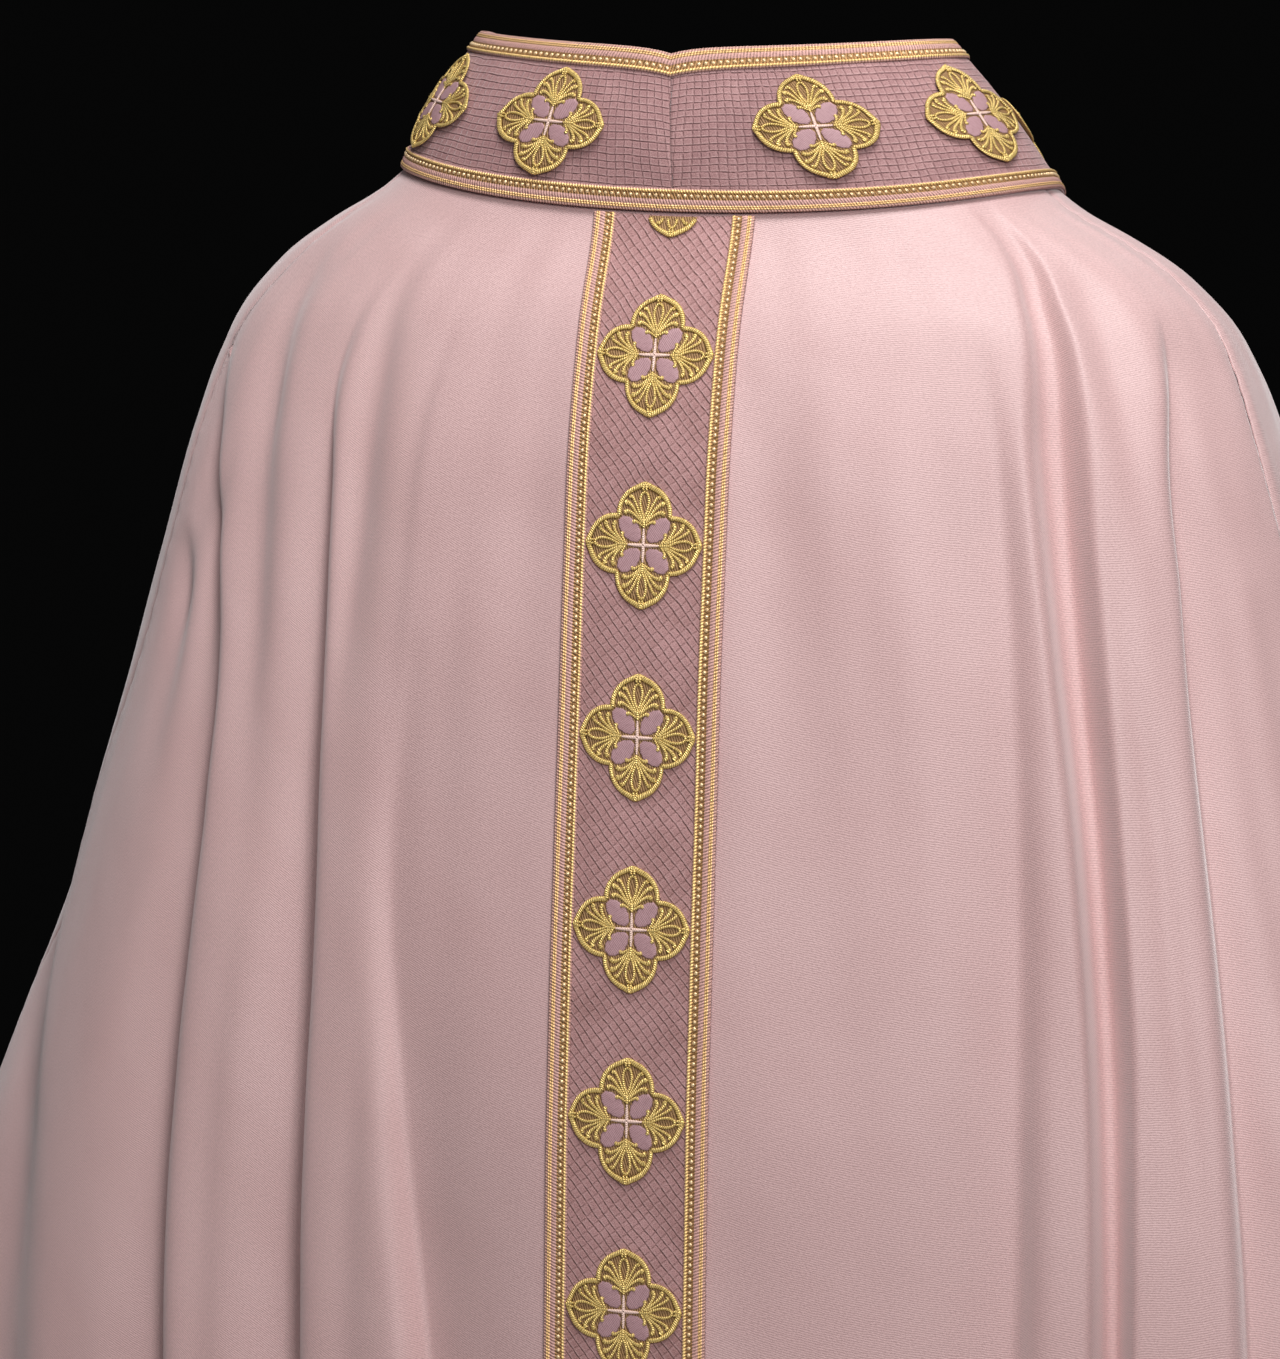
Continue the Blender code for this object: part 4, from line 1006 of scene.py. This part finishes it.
twill, pressed, threads = twill_group(), pressed_group(), thread_group()
rose_cloth = cloth_material(twill)
collar_velvet = velvet_material("collar_velvet", pressed, 4.4, 4.1, 0.0, 0.7, (0.33, 0.18, 0.18),
                                (0.45, 0.26, 0.255), (0.19, 0.09, 0.09))
band_velvet = velvet_material("band_velvet", pressed, 4.8, 4.1, math.radians(50), 0.5, (0.37, 0.20, 0.19),
                              (0.50, 0.285, 0.28), (0.20, 0.095, 0.085))
braid_tape = braid_material(threads)
bead_gold = thread_material("bead_gold", threads, 0.0008, (0.60, 0.35, 0.14), (1.0, 0.78, 0.48), 0.34, 0.45, 0.0001)
stitched = {
    "ground": thread_material("ground_stitch", threads, 0.0014, (0.15, 0.07, 0.02), (0.40, 0.235, 0.10), 0.6, 0.1,
                              0.0004),
    "gold": thread_material("gold_stitch", threads, 0.0011, GOLD_DARK, GOLD_LIGHT, 0.34, 0.35, 0.0003),
    "pale": thread_material("pale_stitch", threads, 0.0009, (0.62, 0.38, 0.30), (1.0, 0.74, 0.64), 0.42, 0.1),
    "petal": thread_material("petal_stitch", threads, 0.0009, (0.36, 0.20, 0.215), (0.47, 0.28, 0.30), 0.6, 0.0,
                             0.0001),
}

back_guides = [seam_guide(SEAM_RIGHT, GAP / 2), fold_guide("outer_right", -6), fold_guide("outer_right", 6),
               fold_guide("deep_right", -12), fold_guide("deep_right", 14), fold_guide("panel_right", -7),
               band_guide(-BAND_HALF), band_guide(BAND_HALF), fold_guide("panel_left", 4),
               fold_guide("deep_left", -8), fold_guide("deep_left", 3), fold_guide("outer_left", -8),
               fold_guide("outer_left", 3), seam_guide(SEAM_LEFT, -GAP / 2)]
back_counts = [36, 10, 26, 22, 14, 24, 24, 18, 26, 8, 24, 8, 30]
front_names = ("front_far_left", "front_outer_left", "front_inner_left")
far_names = ("front_inner_right", "front_outer_right", "front_far_right")
front_guides = [seam_guide(SEAM_LEFT, GAP / 2)] + [fold_guide(n) for n in front_names]
front_guides += [lambda h: np.full(np.shape(h), math.pi)] + [turned(fold_guide(n)) for n in far_names]
front_guides += [turned(seam_guide(SEAM_RIGHT, -GAP / 2))]
front_counts = [28, 22, 24, 24, 24, 24, 22, 28]

cloth_back = cloth_panel("cloth_back", back_guides, back_counts, CLOTH_ROWS_BACK, rose_cloth)
cloth_front = cloth_panel("cloth_front", front_guides, front_counts, CLOTH_ROWS_FRONT, rose_cloth)
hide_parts("body_back")
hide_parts("body_front")

on_back = band_surface()
band = velvet_band(on_back, band_velvet)
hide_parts("orphrey_band")
run = np.arange(BAND_START, on_back.down[-1] - BAND_END, BRAID_STEP)
braids = []
for side, label in ((1, "left"), (-1, "right")):
    inner_edge = BAND_HALF - BRAID_WIDE
    piece = braid(f"band_braid_{label}",
                  lambda t, w, lift, side=side: on_back.place(side * (inner_edge + w), t, BRAID_FOOT + lift),
                  run, False, [braid_tape, bead_gold])
    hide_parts(f"orphrey_braid_{label}")
    braids.append(piece)
motifs = []
for k in range(ORPHREY_MOTIFS):
    here = ORPHREY_FIRST + ORPHREY_PITCH * k
    motifs.append(motif(f"band_quatrefoil_{k + 1}", on_back, 0.0, here, BAND_START + BAND_END - here,
                        (ORPHREY_SLIM, 1), stitched))
    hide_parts(f"orphrey_motif_{k + 1}")

collar_pieces, collar_motifs = [], []
number = 0
for side, label, first in ((1, "left", COLLAR_FIRST_LEFT), (-1, "right", COLLAR_FIRST_RIGHT)):
    half = collar_surface(side)
    x, y = np.meshgrid(half.across, half.down)
    points, faces, uv = shell(half.points, half.points - half.way * VELVET, x * side * MM, y * MM)
    piece = mesh_piece(f"velvet_collar_{label}", points, faces, collar_velvet, uv)
    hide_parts(f"collar_{label}")
    collar_pieces.append(piece)
    for k in range(COLLAR_MOTIFS_HALF):
        number += 1
        here = side * (first + COLLAR_PITCH * k)
        collar_motifs.append(motif(f"collar_quatrefoil_{number}", half, here, half.down[-1] / 2, -1e3,
                                   (1, COLLAR_SQUAT), stitched))
        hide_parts(f"collar_motif_{number}")

for place, up_edge, up_way in (("top", 1.0, -1), ("foot", 0.0, 1)):
    edge = edge_surface(up_edge, up_way)
    steps = int(edge.across[-1] / BRAID_STEP)
    piece = braid(f"collar_edge_{place}", lambda t, w, lift, edge=edge: edge.place(t, w, GAP + BRAID_SEAT + lift),
                  np.linspace(0, edge.across[-1], steps + 1)[:-1], True, [braid_tape, bead_gold])
    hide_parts(f"collar_braid_{place}")
    braids.append(piece)

slots = (("rose_cloth", [cloth_back, cloth_front]), ("rose_velvet", [band] + collar_pieces),
         ("gold_braid", braids), ("gold_embroidery", motifs + collar_motifs))
for slot, pieces in slots:
    for piece in pieces:
        face_out(piece)
        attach(piece, "root")

# Light and camera.
CAMERA_TURN, CAMERA_LIFT, CAMERA_FAR = math.radians(197.5), math.radians(6.0), 2.6
PICTURE = (1280, 1359)
PER_MM = 1.9
ORIGIN_PIXEL = (728, 176)
back_way = np.array([math.sin(CAMERA_TURN) * math.cos(CAMERA_LIFT), -math.cos(CAMERA_TURN) * math.cos(CAMERA_LIFT),
                     math.sin(CAMERA_LIFT)])
right_way = unit(np.cross(-back_way, np.array([0, 0, 1.0])))
up_way = np.cross(right_way, -back_way)
off_x = (ORIGIN_PIXEL[0] - PICTURE[0] / 2) / PER_MM * MM
off_y = -(ORIGIN_PIXEL[1] - PICTURE[1] / 2) / PER_MM * MM
aim = -(right_way * off_x + up_way * off_y)


def look_from(thing, place, target):
    """Places a lamp or camera and turns its back to the way from target to place."""
    way = Vector(place) - Vector(target)
    thing.location = place
    thing.rotation_euler = way.to_track_quat("Z", "Y").to_euler()


camera = bpy.data.objects.new("camera", bpy.data.cameras.new("camera"))
bpy.context.scene.collection.objects.link(camera)
camera.data.lens = PER_MM * CAMERA_FAR / MM / PICTURE[1] * camera.data.sensor_width
look_from(camera, aim + back_way * CAMERA_FAR, aim)
bpy.context.scene.camera = camera


def lamp(name, right, up, near, size, power, colour=(1, 1, 1)):
    """A square soft lamp, placed in metres along the camera's own right, up and back from the picture's middle."""
    data = bpy.data.lights.new(name, "AREA")
    data.shape, data.size, data.energy, data.color = "SQUARE", size, power, colour
    thing = bpy.data.objects.new(name, data)
    bpy.context.scene.collection.objects.link(thing)
    look_from(thing, aim + right_way * right + up_way * up + back_way * near, aim)


lamp("key", 0.1, 1.75, 1.0, 0.8, 34, (1.0, 0.985, 0.985))
lamp("fill", 0.5, 0.75, 2.35, 0.6, 29, (1.0, 0.99, 0.99))
lamp("rim", 0.8, 2.2, -1.4, 1.2, 10)

world = bpy.data.worlds.new("studio")
bpy.context.scene.world = world
world.use_nodes = True
tree = world.node_tree
tree.nodes.clear()
seen = add(tree, "ShaderNodeLightPath").outputs["Is Camera Ray"]
soft = add(tree, "ShaderNodeBackground", {"Color": (0.98, 0.97, 1.0, 1), "Strength": 0.12})
dark = add(tree, "ShaderNodeBackground", {"Color": (0.002, 0.002, 0.002, 1), "Strength": 1.0})
both = add(tree, "ShaderNodeMixShader", {0: seen, 1: soft.outputs[0], 2: dark.outputs[0]})
add(tree, "ShaderNodeOutputWorld", {"Surface": both.outputs[0]})

floor_mesh = bpy.data.meshes.new("floor")
floor_mesh.from_pydata([(-4, -4, -1.5), (4, -4, -1.5), (4, 4, -1.5), (-4, 4, -1.5)], [], [(0, 1, 2, 3)])
floor = bpy.data.objects.new("floor", floor_mesh)
bpy.context.scene.collection.objects.link(floor)
pale, _, pale_shader, _ = material("pale_floor", 0.8)
pale_shader.inputs["Base Color"].default_value = (0.62, 0.61, 0.6, 1)
floor_mesh.materials.append(pale)
bpy.context.scene.view_settings.view_transform = "Standard"
